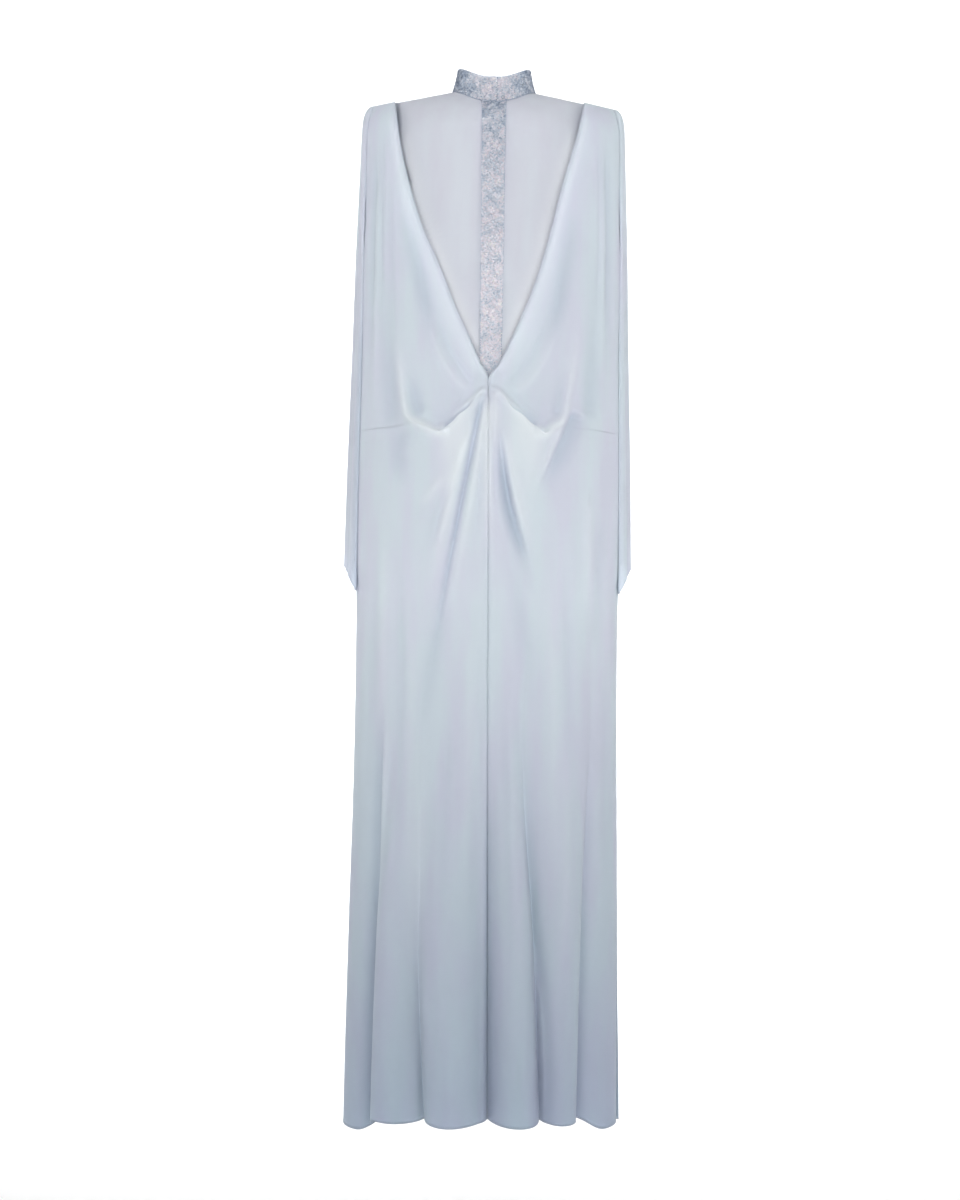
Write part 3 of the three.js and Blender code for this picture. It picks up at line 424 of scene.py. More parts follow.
# %% Creases of the fronts
# how far out, its widths to the right and left, the shares over which it begins and ends, and then
# its points as x and z
CREASES = (
    # the two deep folds that run down from the gather, and the pleats beside them
    (-7, 4.5, 3.5, 0.08, 0.6, -8, -452, -26, -539, -42, -626, -60, -724, -74, -814, -98, -930),
    (-2, 2, 2, 0.06, 0.5, -8, -452, -26, -539, -42, -626, -60, -724, -74, -814),
    (-4, 14, 12, 0.5, 0.5, -50, -670, -66, -780, -84, -886, -98, -990),
    (5, 6, 8, 0.1, 0.6, -3, -455, -15, -539, -29, -626, -46, -724, -64, -814),
    (6, 9, 9, 0.3, 0.4, -18, -480, -52, -590, -84, -760),
    (-10, 13, 5, 0.35, 0.5, 6, -468, 13, -520, 22, -575, 32, -622, 46, -670, 60, -712, 74, -760),
    (-4, 8, 2.5, 0.4, 0.3, 12, -510, 24, -575, 34, -622, 48, -668, 58, -696),
    (-4, 14, 13, 0.5, 0.5, 30, -640, 42, -740, 56, -830, 70, -940),
    (4, 6, 9, 0.2, 0.4, 18, -498, 32, -570, 44, -630, 64, -690),
    (4, 6, 6, 0.05, 0.6, 6, -452, 10, -520, 16, -590, 22, -680),
    (8, 12, 12, 0.2, 0.6, -1, -450, 0, -570, 2, -720),
    (-2, 3, 3, 0.05, 0.5, -4, -456, -9, -520, -14, -600, -20, -690),
    (-2, 3, 3, 0.05, 0.5, 3, -456, 5, -520, 8, -600, 10, -690),
    # the hips, and the slanting pulls off the swags' low corners
    (-9, 7, 17, 0.1, 0.5, 126, -478, 115, -508, 101, -540, 86, -572, 68, -606),
    (4, 5, 5, 0.15, 0.5, 106, -504, 96, -524, 86, -548, 76, -574, 62, -612),
    (-6, 14, 14, 0.3, 0.4, -122, -498, -134, -545, -118, -600),
    (4, 8, 8, 0.3, 0.4, -60, -570, -80, -598, -100, -625),
    (-3, 9, 7, 0.3, 0.5, -48, -585, -70, -630, -90, -700),
    # the swags' ridges as they leave the gather
    (6, 5, 5, 0.25, 0.4, -3, -447, -17, -457, -34, -473, -50, -489, -62, -500),
    (6, 5, 5, 0.25, 0.4, 3, -447, 16, -457, 30, -470, 46, -484, 60, -495),
    # the swags' outer sides and the pockets behind them
    (10, 8, 7, 0.06, 0.5, -58, -507, -76, -512, -95, -504, -108, -497, -118, -485,
     -124, -460, -130, -425, -137, -390, -142, -320),
    (10, 7, 8, 0.06, 0.5, 62, -505, 80, -511, 92, -504, 101, -498, 108, -484,
     111, -461, 117, -425, 124, -382, 131, -320),
    (-6, 12, 12, 0.3, 0.5, -96, -492, -108, -478, -114, -450, -119, -410),
    (-6, 12, 12, 0.3, 0.5, 94, -494, 104, -480, 108, -450, 112, -404),
    (-6, 13, 13, 0.2, 0.6, -142, -520, -150, -420, -156, -240),
    (-6, 13, 13, 0.2, 0.6, 146, -500, 150, -420, 158, -200),
    # long upright folds from the shoulders
    (-5, 6, 6, 0.3, 0.4, -172, -60, -176, -220, -178, -470),
    (-5, 6, 6, 0.3, 0.4, 166, -60, 172, -220, 172, -470),
    (-2.5, 5, 4, 0.3, 0.4, -160, -50, -163, -200, -160, -400),
    (2.0, 5, 5, 0.3, 0.4, -167, -90, -170, -260, -170, -520),
    (-2.2, 4, 5, 0.3, 0.4, 152, -60, 158, -190, 156, -380),
    (2.2, 5, 5, 0.3, 0.5, 159, -120, 163, -280, 163, -500),
    (-2.0, 6, 4, 0.3, 0.5, -150, -130, -146, -250, -140, -400),
    # pulls across the breast towards the gather
    (-5, 12, 12, 0.3, 0.4, -132, -180, -104, -300, -70, -420),
    (-5, 12, 12, 0.3, 0.4, 122, -170, 104, -300, 74, -420),
    (-3, 5, 4, 0.3, 0.2, -84, -345, -62, -392, -40, -425, -22, -447),
    (2.5, 5, 5, 0.3, 0.2, -96, -330, -76, -395, -52, -436, -28, -455),
    (-2.5, 4, 6, 0.3, 0.2, 88, -330, 64, -392, 42, -424, 22, -448),
    (2.5, 6, 5, 0.3, 0.2, 104, -340, 82, -400, 56, -440, 28, -458),
    (-2, 8, 8, 0.4, 0.4, -112, -230, -100, -310, -90, -380),
    (-2, 8, 8, 0.4, 0.4, 108, -240, 98, -320, 92, -400),
    # the sharp folds that run down to the hem's cusps, and a pale streak beside the last
    (-7, 9, 3, 0.3, 0.02, -148, -880, -154, -1000, -158, -1155, -162, -1324, -161, -1560),
    (3, 3, 6, 0.3, 0.02, -141, -900, -147, -1000, -151, -1155, -155, -1324, -154, -1560),
    (-1.8, 3, 8, 0.3, 0.02, 51, -900, 66, -1155, 90, -1367, 94, -1560),
    (1.4, 6, 3, 0.3, 0.02, 46, -900, 61, -1155, 85, -1367, 89, -1560),
    (-3, 3, 8, 0.3, 0.02, 154, -940, 147, -1155, 140, -1367, 138, -1560),
    (2.5, 8, 8, 0.3, 0.5, 120, -880, 114, -1155, 100, -1324),
    (5, 12, 12, 0.4, 0.02, -93, -900, -93, -1243, -80, -1560),
    (-3, 3, 12, 0.3, 0.02, 4, -1000, 7, -1243, 12, -1560),
    # the skirt's slack ripples between its long folds
    (-2.2, 7, 9, 0.4, 0.5, -164, -620, -168, -860, -172, -1180),
    (2.2, 8, 8, 0.4, 0.5, -150, -600, -152, -820, -150, -1150),
    (-2.4, 8, 6, 0.4, 0.5, -128, -640, -124, -880, -120, -1260),
    (1.8, 9, 9, 0.4, 0.5, -108, -760, -106, -960, -104, -1300),
    (-1.8, 8, 8, 0.4, 0.5, -52, -860, -56, -1060, -60, -1360),
    (1.8, 8, 8, 0.4, 0.5, -24, -760, -24, -980, -26, -1300),
    (-2.4, 8, 6, 0.4, 0.5, 26, -880, 32, -1080, 38, -1380),
    (2.0, 9, 9, 0.4, 0.5, 90, -700, 96, -920, 98, -1260),
    (-2.4, 7, 9, 0.4, 0.5, 112, -640, 118, -900, 122, -1240),
    (2.4, 8, 8, 0.3, 0.5, 144, -570, 146, -680, 146, -800),
    (-2.8, 8, 8, 0.3, 0.5, 166, -610, 164, -720, 162, -860),
    (-2.0, 7, 7, 0.4, 0.5, 176, -820, 178, -1020, 180, -1340),
)
STEPS = 36


def curve_through(points, steps):
    """Points evenly along a smooth line through a few given ones."""
    ends = np.vstack([2 * points[0] - points[1], points, 2 * points[-1] - points[-2]])
    at = np.linspace(0, len(points) - 1, steps)
    i = np.minimum(at.astype(int), len(points) - 2)
    return spline(lambda k: ends[i + k + 1], (at - i)[:, None])


def crease_height(x, z):
    """How far the creases raise or sink the front at each of its points."""
    height = np.zeros_like(x)
    for out, right, left, start, end, *points in CREASES:
        line = curve_through(np.array(points, dtype=float).reshape(-1, 2), STEPS)
        reach = 3 * max(right, left)
        low, high = line.min(axis=0) - reach, line.max(axis=0) + reach
        near = (x > low[0]) & (x < high[0]) & (z > low[1]) & (z < high[1])
        if not near.any():
            continue
        px, pz = x[near], z[near]
        best, along, side = np.full(px.shape, 1e9), np.zeros(px.shape), np.zeros(px.shape)
        for k, (a, b) in enumerate(zip(line[:-1], line[1:])):
            step = b - a
            t = clamp(((px - a[0]) * step[0] + (pz - a[1]) * step[1]) / (step @ step))
            off_x, off_z = px - a[0] - t * step[0], pz - a[1] - t * step[1]
            gap = np.hypot(off_x, off_z)
            nearer = gap < best
            best[nearer], side[nearer] = gap[nearer], off_x[nearer]
            along[nearer] = (k + t[nearer]) / (STEPS - 1)
        width = np.where(side < 0, right, left)
        fade = ease(along / start) * ease((1 - along) / end)
        height[near] += out * fade * hump(best, width)
    return height


print(len(CREASES), "creases on the fronts")

# %% [markdown]
# ## Laying out a sheet of cloth
# Every panel is a grid primitive whose points are put in their places, because cloth is one even
# sheet of quads that bends anywhere. Solidify then gives it two faces and a real edge. The panels
# are cut with a seam's width between them, as their walls are. Each carries its creases as an
# attribute that paints highlight on their crests and shade in their troughs.

# %% Making one sheet
# what a piece is made of: its material, its slot and its thickness
KINDS = {
    "chiffon": (OUTER_CLOTH, "chiffon", 0.7),
    "sheer": (SHEER_CLOTH, "sheer_chiffon", 0.7),
    "tape": (backing, "sequins", 1.4),
}


def new_grid(name, points):
    """A grid primitive whose points are put in their places, in mm and rows from the bottom."""
    rows, columns = points.shape[:2]
    bpy.ops.object.select_all(action="DESELECT")
    bpy.ops.mesh.primitive_grid_add(x_subdivisions=columns - 1, y_subdivisions=rows - 1, size=1)
    made = bpy.context.object
    made.name = made.data.name = name
    made.data.vertices.foreach_set("co", (points * MM).ravel())
    made.data.update()
    return made


def hand_over(made, material, slot):
    made.data.materials.append(material)
    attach(made, "root")


def hang(node_name, kind, points, fold=None):
    """A sheet from a grid of points in mm, rows from the top, that stands for one node.

    Its outer face is turned outwards.
    """
    material, slot, thickness = KINDS[kind]
    fold = np.zeros(points.shape[:2]) if fold is None else fold
    cell = np.cross(points[:-1, 1:] - points[:-1, :-1], points[1:, :-1] - points[:-1, :-1])
    faces_in = (cell[..., :2] * (points[:-1, :-1, :2])).sum() > 0
    order = (slice(None, None, -1), slice(None, None, -1 if faces_in else 1))
    sheet = new_grid(f"{node_name}_{kind}", points[order])
    painted_light_layer = sheet.data.attributes.new("fold", "FLOAT", "POINT")
    painted_light_layer.data.foreach_set("value", fold[order].ravel())
    bpy.ops.object.shade_smooth()
    bpy.ops.object.modifier_add(type="SOLIDIFY")
    sheet.modifiers[-1].thickness, sheet.modifiers[-1].offset = thickness * MM, -1
    bpy.ops.object.modifier_apply(modifier=sheet.modifiers[-1].name)
    hand_over(sheet, material, slot)
    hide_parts(node_name)


# %% [markdown]
# ## The outer fronts
# Each front is one piece of chiffon from the shoulder down to the fold at the waist, and the skirt
# is sewn on inside that fold. The V edge is turned back in a soft roll, with a painted highlight
# beside it. At the waist the cloth is caught to a point, so it swags: it sinks into a pocket with
# painted shade, comes up over a lip with a painted highlight, and falls again.

# %% Edges, lobes and lip of the fronts
HEM_FRONT, HEM_SIDE, HEM_BACK, HEM_LEFT_RISE = -1510, -1538, -1548, 7
HEM_LEVEL_TO, HEM_BLEND = 130, 50  # level between the sides, and then sinking to them
RIGHT_FRONT = table(
    "z side fold_a fold_b inner",
    (-12, 178, 168, 158, 148), (-60, 186.5, 172, 157, 142), (-92, 187, 171, 154, 137),
    (-153, 188, 168, 148, 122.5), (-209, 190, 165, 143, 105), (-271, 192, 162, 140, 77),
    (-331, 192, 160, 135, 52.7), (-374, 192, 158, 132, 32), (-411, 193, 156, 128, 14.9),
    (-436, 193, 154, 125, 2.8), (-500, 194, 151, 112, 2.2), (-740, 196, 144, 97, -1),
    (-940, 198, 140, 93, -2.9), (-1243, 200, 157, 93, -7), (-1550, 202, 160, 79, -11),
)
LEFT_FRONT = table(
    "z side fold_a fold_b inner",
    (-12, 178, 164, 150, 135), (-70, 186.5, 170, 151, 124.5), (-114, 187, 169, 147, 112.5),
    (-160, 188, 167, 143, 99.5), (-203, 190, 165, 141, 89.5), (-264, 192, 163, 139, 73.5),
    (-304, 192, 161, 137, 60.7), (-344, 192, 159, 134, 44.5), (-381, 192, 157, 132, 28.4),
    (-414, 193, 156, 130, 11.9), (-436, 193, 154, 128, -2.8), (-500, 194, 152, 117, -2.2),
    (-740, 196, 154, 72, 1), (-940, 198, 155, 53, 2.9), (-1243, 200, 147, 74, 7),
    (-1550, 202, 141, 88, 11),
)
# a lobe's crest at the hem, where it begins, and how far it leans, from the side seam to the centre
RIGHT_LOBES = ((12, -760, 4), (36, -860, 0), (42, -900, 2))
LEFT_LOBES = ((12, -700, -3), (32, -640, 2), (38, -760, -2))
BACK_LOBES = (
    (20, -560, 0), (46, -420, 3), (54, -500, -3), (50, -380, 4), (44, -460, 0), (20, -600, -3),
)
VALLEY_DEPTH, VALLEY_FROM = 8, -620
VALLEY_DEEPER = 14  # added inside the back
FOLDS_FULL, GROWTH_POWER = -1519, 0.8
CUSP, PINCH = 0.4, 0.11  # how sharp a valley is, and how narrow a lobe is at its foot
SCALLOP = 0.12  # how much the hem lifts where it stands back
LIP = table(
    "x z folded",
    (0, -443, 0), (17, -455, 0.1), (34, -474, 0.55), (50, -490, 0.9), (65, -502, 0.9), (79, -507, 0.5),
    (91, -506, 0.15), (105, -503, 0.02), (118, -501, 0), (135, -504, 0), (202, -510, 0),
)
# drop below the lip's line laid smooth and folded, and stand-off
LIP_ROWS = (
    (-22, -14, -8), (-10, -2, -10), (-4, 8, -10.5), (0, 15, -9), (4, 10, -5.5), (8, 2, -2),
    (12, -1.5, 1.5), (17, 3, 4.5), (24, 12, 4.5),
)
LIP_HOLLOW, LIP_REACH = -11, 62
# the right swag's low corner lies further in: by how much, how far out that is, and its reach
LIP_RIGHT_SHIFT, LIP_RIGHT_AT, LIP_RIGHT_REACH = 9, 80, 40
# where the sleeve lies on the gown's side its corner is fuller: how far forward, by height
CORNER = table("z ahead", (-80, 44), (-150, 44), (-235, 47), (-380, 49), (-540, 54), (-745, 58))
CORNER_POWER, CORNER_BLEND = 10, 8
ROWS_ABOVE, ROWS_BELOW, LIP_SEAM_ROW = 14, 15, 3


def growth(from_z, z):
    return ease((z - from_z) / (FOLDS_FULL - from_z)) ** GROWTH_POWER


def lobe_at(lobes, part, s, z):
    """Where a point sits along its lobe, how far it stands out, and how far it leans."""
    depth, from_z, lean = (np.array(column)[part] for column in zip(*lobes))
    grown = growth(from_z, z)
    wave = mix((1 - np.cos(2 * np.pi * s)) / 2, np.sin(np.pi * s), CUSP)
    pinch = PINCH * grown * np.sin(2 * np.pi * s)
    out = depth * grown * wave - VALLEY_DEPTH * growth(VALLEY_FROM, z)
    return s - pinch, out, lean * grown * wave


def hem_z(x, lowest):
    side = HEM_SIDE + HEM_LEFT_RISE * ease(x / 150)
    return mix(lowest, side, ease((np.abs(x) - HEM_LEVEL_TO) / HEM_BLEND) ** 1.5)


def fill_corner(x, y, z):
    """Brings the front's corner forward to meet the sleeve's fold."""
    beside = ease((-z - 100) / 140) * (1 - ease((-z - 700) / 90))
    outer_share = clamp(np.abs(x) / np.abs(x[:, :1]))
    ahead = np.abs(read(CORNER, "ahead", z) * rounded(outer_share, CORNER_POWER))
    full = (np.abs(y) ** CORNER_BLEND + ahead**CORNER_BLEND) ** (1 / CORNER_BLEND)
    return mix(y, -full, beside)


def between_rows(values, at):
    """Values at fractions of a row, on a smooth line through the given rows."""
    i = np.minimum(at.astype(int), len(values) - 2)
    return spline(lambda k: values[np.clip(i + k, 0, len(values) - 1)], (at - i)[:, None])


# %% One front, from the side seam to the centre
FRONT_COLUMNS, STEPS_A_ROW, STEPS_BELOW = 111, 7, 9
CROWDING = 0.45  # how far the columns crowd towards the V edge
TOP_Z, LIP_LEVEL = -12.0, -500.0  # heights at which the shoulder's and the lip's places are taken
ROLL_HEIGHT, ROLL_AT, ROLL_WIDTH = 2.1, 5.5, 4.6
TURNED_IN, TURNED_WIDTH = 3.6, 3.0  # the V's very edge goes inwards
V_END = -436
FULL_SHADE_HEIGHT = 11  # a crease this high takes a crest's whole painted highlight or a trough's whole painted shade
# painted highlight on the lip and beside the V edge, and painted shade in the pocket
LIP_HIGHLIGHT, POCKET_SHADE, V_EDGE_HIGHLIGHT = 1.3, 0.25, 0.3


def front_panel(side, edges, lobes):
    """A front's points by rows from the shoulder, the row where the skirt begins, and the painted
    light of its folds.
    """
    t = np.linspace(0, 1, FRONT_COLUMNS)
    u = 3 * mix(t, 1 - (1 - t) ** 2, CROWDING)

    def across(z):
        z = np.broadcast_to(z, np.broadcast_shapes(np.shape(z), u.shape))
        part = np.broadcast_to(np.minimum(2, u.astype(int)), z.shape)
        step, out, lean = lobe_at(lobes, part, u - part, z)
        half = read(OUTER, "half", z)
        names = ("side", "fold_a", "fold_b", "inner")
        gap = {"inner": 0.03}
        turns = np.stack([turn_of(side * (read(edges, n, z) + gap.get(n, 0)), half) for n in names])
        start = np.take_along_axis(turns, part[None], 0)[0]
        end = np.take_along_axis(turns, part[None] + 1, 0)[0]
        return width_at(mix(start, end, step), half) - lean, out

    lip_x = np.abs(across(LIP_LEVEL)[0])
    if side < 0:
        lip_x = lip_x + LIP_RIGHT_SHIFT * hump(lip_x - LIP_RIGHT_AT, LIP_RIGHT_REACH)
    lip_z, folded = read(LIP, "z", lip_x), clamp(read(LIP, "folded", lip_x))
    top = shoulder_z(across(TOP_Z)[0])
    first, last = LIP_ROWS[0], LIP_ROWS[-1]
    r = np.arange(ROWS_ABOVE)[:, None]
    above = row_z(r, ROWS_ABOVE - 1, top, 0.0, lip_z - mix(first[0], first[1], folded) + 14)
    hollow = LIP_HOLLOW * folded * hump(above - lip_z, LIP_REACH)
    lip = np.stack([lip_z - mix(flat, drop, folded**1.5) for flat, drop, _ in LIP_ROWS])
    lip_out = np.stack([out * np.sqrt(folded) for *_, out in LIP_ROWS])
    s = (np.arange(1, ROWS_BELOW + 1) / ROWS_BELOW)[:, None]
    hem_x, hem_out = across(float(HEM_FRONT))
    hem = hem_z(hem_x, HEM_FRONT) + SCALLOP * (hem_out.max() - hem_out)
    below = mix(lip_z - mix(last[0], last[1], folded), hem, s**1.1)
    run_out = 5 * folded * np.exp(-14 * s)
    rows_z = np.vstack([above, lip, below])
    rows_out = np.vstack([hollow, lip_out, run_out])

    lip_end = ROWS_ABOVE + len(LIP_ROWS)
    at = np.concatenate([
        np.arange(STEPS_A_ROW * lip_end) / STEPS_A_ROW,
        np.linspace(lip_end, len(rows_z) - 1, STEPS_BELOW * (ROWS_BELOW - 1) + 1),
    ])
    z, stand_off = between_rows(rows_z, at), between_rows(rows_out, at)
    x, lobe_out = across(z)
    creases = crease_height(x, z)
    settled = ease((shoulder_z(x) - z) / 60)
    edge = np.abs(x - x[:, -1:])
    v_part = ease((z - V_END) / 25)
    roll = ROLL_HEIGHT * hump(edge - ROLL_AT, ROLL_WIDTH)
    roll = roll - TURNED_IN * ease(1 - edge / TURNED_WIDTH)
    seam = -0.8 * hump(edge, 2.0) + 0.5 * hump(edge - 6, 4)
    raised = (lobe_out + creases) * settled + stand_off + mix(seam, roll, v_part) * settled
    y = depth_at(OUTER, "front", x, z)
    out_x, out_y = outwards(OUTER, "front", x, z)
    y = fill_corner(x, y + out_y * raised, z)
    points = xyz(x + out_x * raised, np.minimum(y, -SEAM_HALF), z)
    points[0, :, 1] = -SEAM_HALF
    # painted light: a highlight on the lip and beside the V edge, shade in the pocket, and light and
    # shade along the creases
    lip_highlight_band = hump(at - (ROWS_ABOVE + 6.8), 2.2)[:, None] * folded
    pocket_shade_band = hump(at - (ROWS_ABOVE + 2.0), 2.6)[:, None] * folded
    fold = creases / FULL_SHADE_HEIGHT + LIP_HIGHLIGHT * lip_highlight_band - POCKET_SHADE * pocket_shade_band
    fold = fold + V_EDGE_HIGHLIGHT * v_part * hump(edge - 6, 6)
    seam_row = int(np.argmin(np.abs(at - (ROWS_ABOVE + LIP_SEAM_ROW))))
    return points, seam_row, np.clip(fold * settled, -1, 1)


# %% Lay the fronts and their skirts
FRONT_CUTS = {-1: (RIGHT_FRONT, RIGHT_LOBES), 1: (LEFT_FRONT, LEFT_LOBES)}
FRONTS = {}
for side, name in SIDES:
    points, seam_row, fold = front_panel(side, *FRONT_CUTS[side])
    FRONTS[name] = points
    for piece, rows in (("front", slice(0, seam_row + 1)), ("skirt", slice(seam_row, None))):
        hang(f"{piece}_{name}", "chiffon", points[rows], fold[rows])

# %% [markdown]
# ## The outer back
# The upper back is cut in two with a seam down its centre, and the skirt's back is one piece. The
# back hangs plainly from the shoulders in six slow folds.

# %% One back, over the neck and down to the hem
BACK_COLUMNS, BACK_ROWS_FINE = 169, 200
BACK_ROWS, BACK_WAIST_ROW, BACK_WAIST_Z = 22, 10, -508
NECK_STEPS, SIDE_STEPS = 7, 18
BACK_SETTLES = 260  # how far below the shoulders the cloth hangs in its own folds
FOLD_FULL_SHADE, SLACK_FULL_SHADE = 60, 6  # these heights take a crest's whole painted highlight or a trough's whole painted shade


def back_panel():
    u = np.linspace(0, 6, BACK_COLUMNS)
    side = lambda z: read(RIGHT_FRONT, "side", z)
    steps = np.abs(u * 6 - SIDE_STEPS)
    angle = np.minimum(steps / NECK_STEPS, 1) * np.pi / 2
    past = np.maximum(0, (steps - NECK_STEPS) / (SIDE_STEPS - NECK_STEPS))
    top_x = np.sign(u - 3) * mix((NECK_HALF + 3) * np.sin(angle), side(0.0), past)
    top_y = np.where(past > 0, SEAM_HALF, np.maximum(SEAM_HALF, (NECK_BACK + 5) * np.cos(angle)))
    top_z = height_at(OUTER, "back", top_x, top_y)
    settled_at = lambda z: ease((top_z - z) / BACK_SETTLES)

    def across(z):
        z = np.broadcast_to(z, np.broadcast_shapes(np.shape(z), u.shape))
        part = np.broadcast_to(np.minimum(5, u.astype(int)), z.shape)
        step, out, lean = lobe_at(BACK_LOBES, part, u - part, z)
        half = read(OUTER, "half", z)
        turn = mix(-1, 1, (part + step) / 6) * turn_of(side(z), half)
        inner = smooth(np.minimum(1, np.minimum(u, 6 - u)))
        out = out - VALLEY_DEEPER * growth(VALLEY_FROM, z) * inner
        return mix(top_x * side(z) / side(0.0), width_at(turn, half) - lean, settled_at(z)), out

    share = np.where(top_y > SEAM_HALF, share_at(OUTER, "back", top_x, top_y, top_z), 0.0)
    r = np.linspace(0, BACK_ROWS - 1, BACK_ROWS_FINE)[:, None]
    upper = row_z(r, BACK_WAIST_ROW, shoulder_z(top_x), share, BACK_WAIST_Z)
    below = (r - BACK_WAIST_ROW) / (BACK_ROWS - 1 - BACK_WAIST_ROW)
    hem = hem_z(across(float(HEM_BACK))[0], HEM_BACK)
    z = np.where(below > 0, mix(BACK_WAIST_Z, hem, below), upper)
    x, out = across(z)
    out_x, out_y = outwards(OUTER, "back", x, z)
    settled = settled_at(z)
    slack = settled * (1.6 * np.sin(x / 13 + 0.004 * z) + 1.1 * np.sin(x / 7.3 - 0.006 * z + 1.0))
    y = np.maximum(depth_at(OUTER, "back", x, z) + out_y * (out + slack), SEAM_HALF)
    points = xyz(x + out_x * (out + slack), y, z)
    points[0] = xyz(top_x, top_y, top_z)
    # painted highlight on the crests of lobes and slack, and painted shade in their troughs
    fold = settled * (out / FOLD_FULL_SHADE + slack / SLACK_FULL_SHADE)
    return points, int(np.argmin(np.abs(r[:, 0] - BACK_WAIST_ROW))), fold


# %% Lay the upper backs and the skirt's back
back_points, waist_row, back_painted_light = back_panel()
back_painted_light = np.clip(back_painted_light, -1, 1)
centre = BACK_COLUMNS // 2
for side, name, columns, seam_column in (
    (-1, "right", slice(0, centre + 1), -1), (1, "left", slice(centre, None), 0)
):
    part = back_points[: waist_row + 1, columns].copy()
    part[:, seam_column, 0] += side * SEAM_HALF
    hang(f"back_{name}", "chiffon", part, back_painted_light[: waist_row + 1, columns])
hang("skirt_back", "chiffon", back_points[waist_row:], back_painted_light[waist_row:])

# %% [markdown]
# ## The inner bodice
# A single layer of chiffon lies flat over the chest up to the high neck. It has no darts that show,
# only the faint drag lines of thin cloth worn taut, so its sheet is nearly plain.

# %% Bodice fronts and back
# how far out its armhole edges reach: the right one leaves a small notch beside the V, near -146
BODICE_EDGE = table(
    "z right left",
    (-6, 146, 140), (-40, 143, 137), (-85, 140, 134), (-104, 134, 134), (-122, 131, 134),
    (-146, 122, 135), (-162, 128, 137), (-205, 146, 148), (-235, 159.9, 159.9),
    (-300, 151.9, 151.9), (-440, 145.9, 145.9),
)
NECK_COLUMNS, SHOULDER_COLUMNS, BODICE_ROWS = 9, 3, 11
BODICE_FINE_COLUMNS, BODICE_FINE_ROWS = 49, 91
V_LIFT, V_REACH, V_PAINTED_LIGHT = 5, 16, 0.9  # beside the V the bodice lies up against the fronts, and is painted paler there, as painted light against their shade
BACK_FALL = 2.5  # the back's neck is a little lower at the shoulders


def neckline(face, angle, grow=0.0):
    x = (NECK_HALF + grow) * np.sin(angle)
    y = way(face) * ((NECK_FRONT if face == "front" else NECK_BACK) + grow) * np.abs(np.cos(angle))
    return x, y, height_at(INNER, face, x, y)


def bodice_panel(face, side):
    c = np.linspace(0, NECK_COLUMNS + SHOULDER_COLUMNS, BODICE_FINE_COLUMNS)
    edge_name = "right" if side < 0 else "left"
    edge = lambda z: read(BODICE_EDGE, edge_name, z)
    in_neck = c <= NECK_COLUMNS
    angle = np.pi / 2 * np.minimum(c / NECK_COLUMNS, 1)
    top_x = np.where(in_neck, np.maximum(SEAM_HALF, NECK_HALF * np.sin(angle)),
                     mix(NECK_HALF, edge(0.0), (c - NECK_COLUMNS) / SHOULDER_COLUMNS))
    _, neck_y, neck_z = neckline(face, angle)
    top_y = np.where(in_neck, neck_y, 0.0)
    top_z = np.where(in_neck, neck_z, top_of(INNER, top_x))
    behind = SEAM_HALF + 1 if face == "back" else -SEAM_HALF
    top_y = np.where(np.abs(top_y) < SEAM_HALF, behind, top_y)
    if face == "back":
        top_z = top_z - BACK_FALL * ease(c / NECK_COLUMNS)
    half_0 = read(INNER, "half", 0.0)
    share = turn_of(top_x, half_0) / turn_of(edge(0.0), half_0)
    forward = np.where(in_neck, share_at(INNER, face, top_x, top_y, top_z), 0.0)
    r = np.linspace(0, BODICE_ROWS - 1, BODICE_FINE_ROWS)[:, None]
    z = row_z(r, BODICE_ROWS - 1, top_of(INNER, top_x), forward, BODICE_END)
    half = read(INNER, "half", z)
    x = np.maximum(SEAM_HALF, width_at(share * turn_of(edge(z), half), half))
    x = mix(top_x, x, ease(r / 2))
    drag = 0.5 * np.sin(z / 23 + x / 17) * ease((top_z - z) / 60)
    v_edge = read(RIGHT_FRONT if side < 0 else LEFT_FRONT, "inner", z)
    beside_v = hump(x - v_edge, V_REACH) * ease((-z - 40) / 60) * ease((z + 440) / 70)
    beside_v = beside_v * (face == "front")
    y = depth_at(INNER, face, x, z) + way(face) * (drag - 0.5 + V_LIFT * beside_v)
    y = np.minimum(y, behind) if face == "front" else np.maximum(y, behind)
    points = xyz(side * x, y, z)
    points[0] = xyz(side * top_x, top_y, top_z)
    return points, V_PAINTED_LIGHT * beside_v


BODICE = {}
for side, name in SIDES:
    BODICE[side], fold = bodice_panel("front", side)
    hang(f"bodice_front_{name}", "sheer", BODICE[side], fold)
right_half, left_half = (bodice_panel("back", side)[0] for side, _ in SIDES)
right_half[:, 0, 0] = left_half[:, 0, 0] = 0
hang("bodice_back", "sheer", np.concatenate([right_half[:, ::-1], left_half[:, 1:]], axis=1))

# %% [markdown]
# ## The sleeves
# Each sleeve is a long flat bag hung from the armhole, open at the cuff. Its front and back pieces
# meet in a seam over the arm, which goes on from the shoulder's, and turn round a front and a back
# fold. The under piece lies against the gown's side.

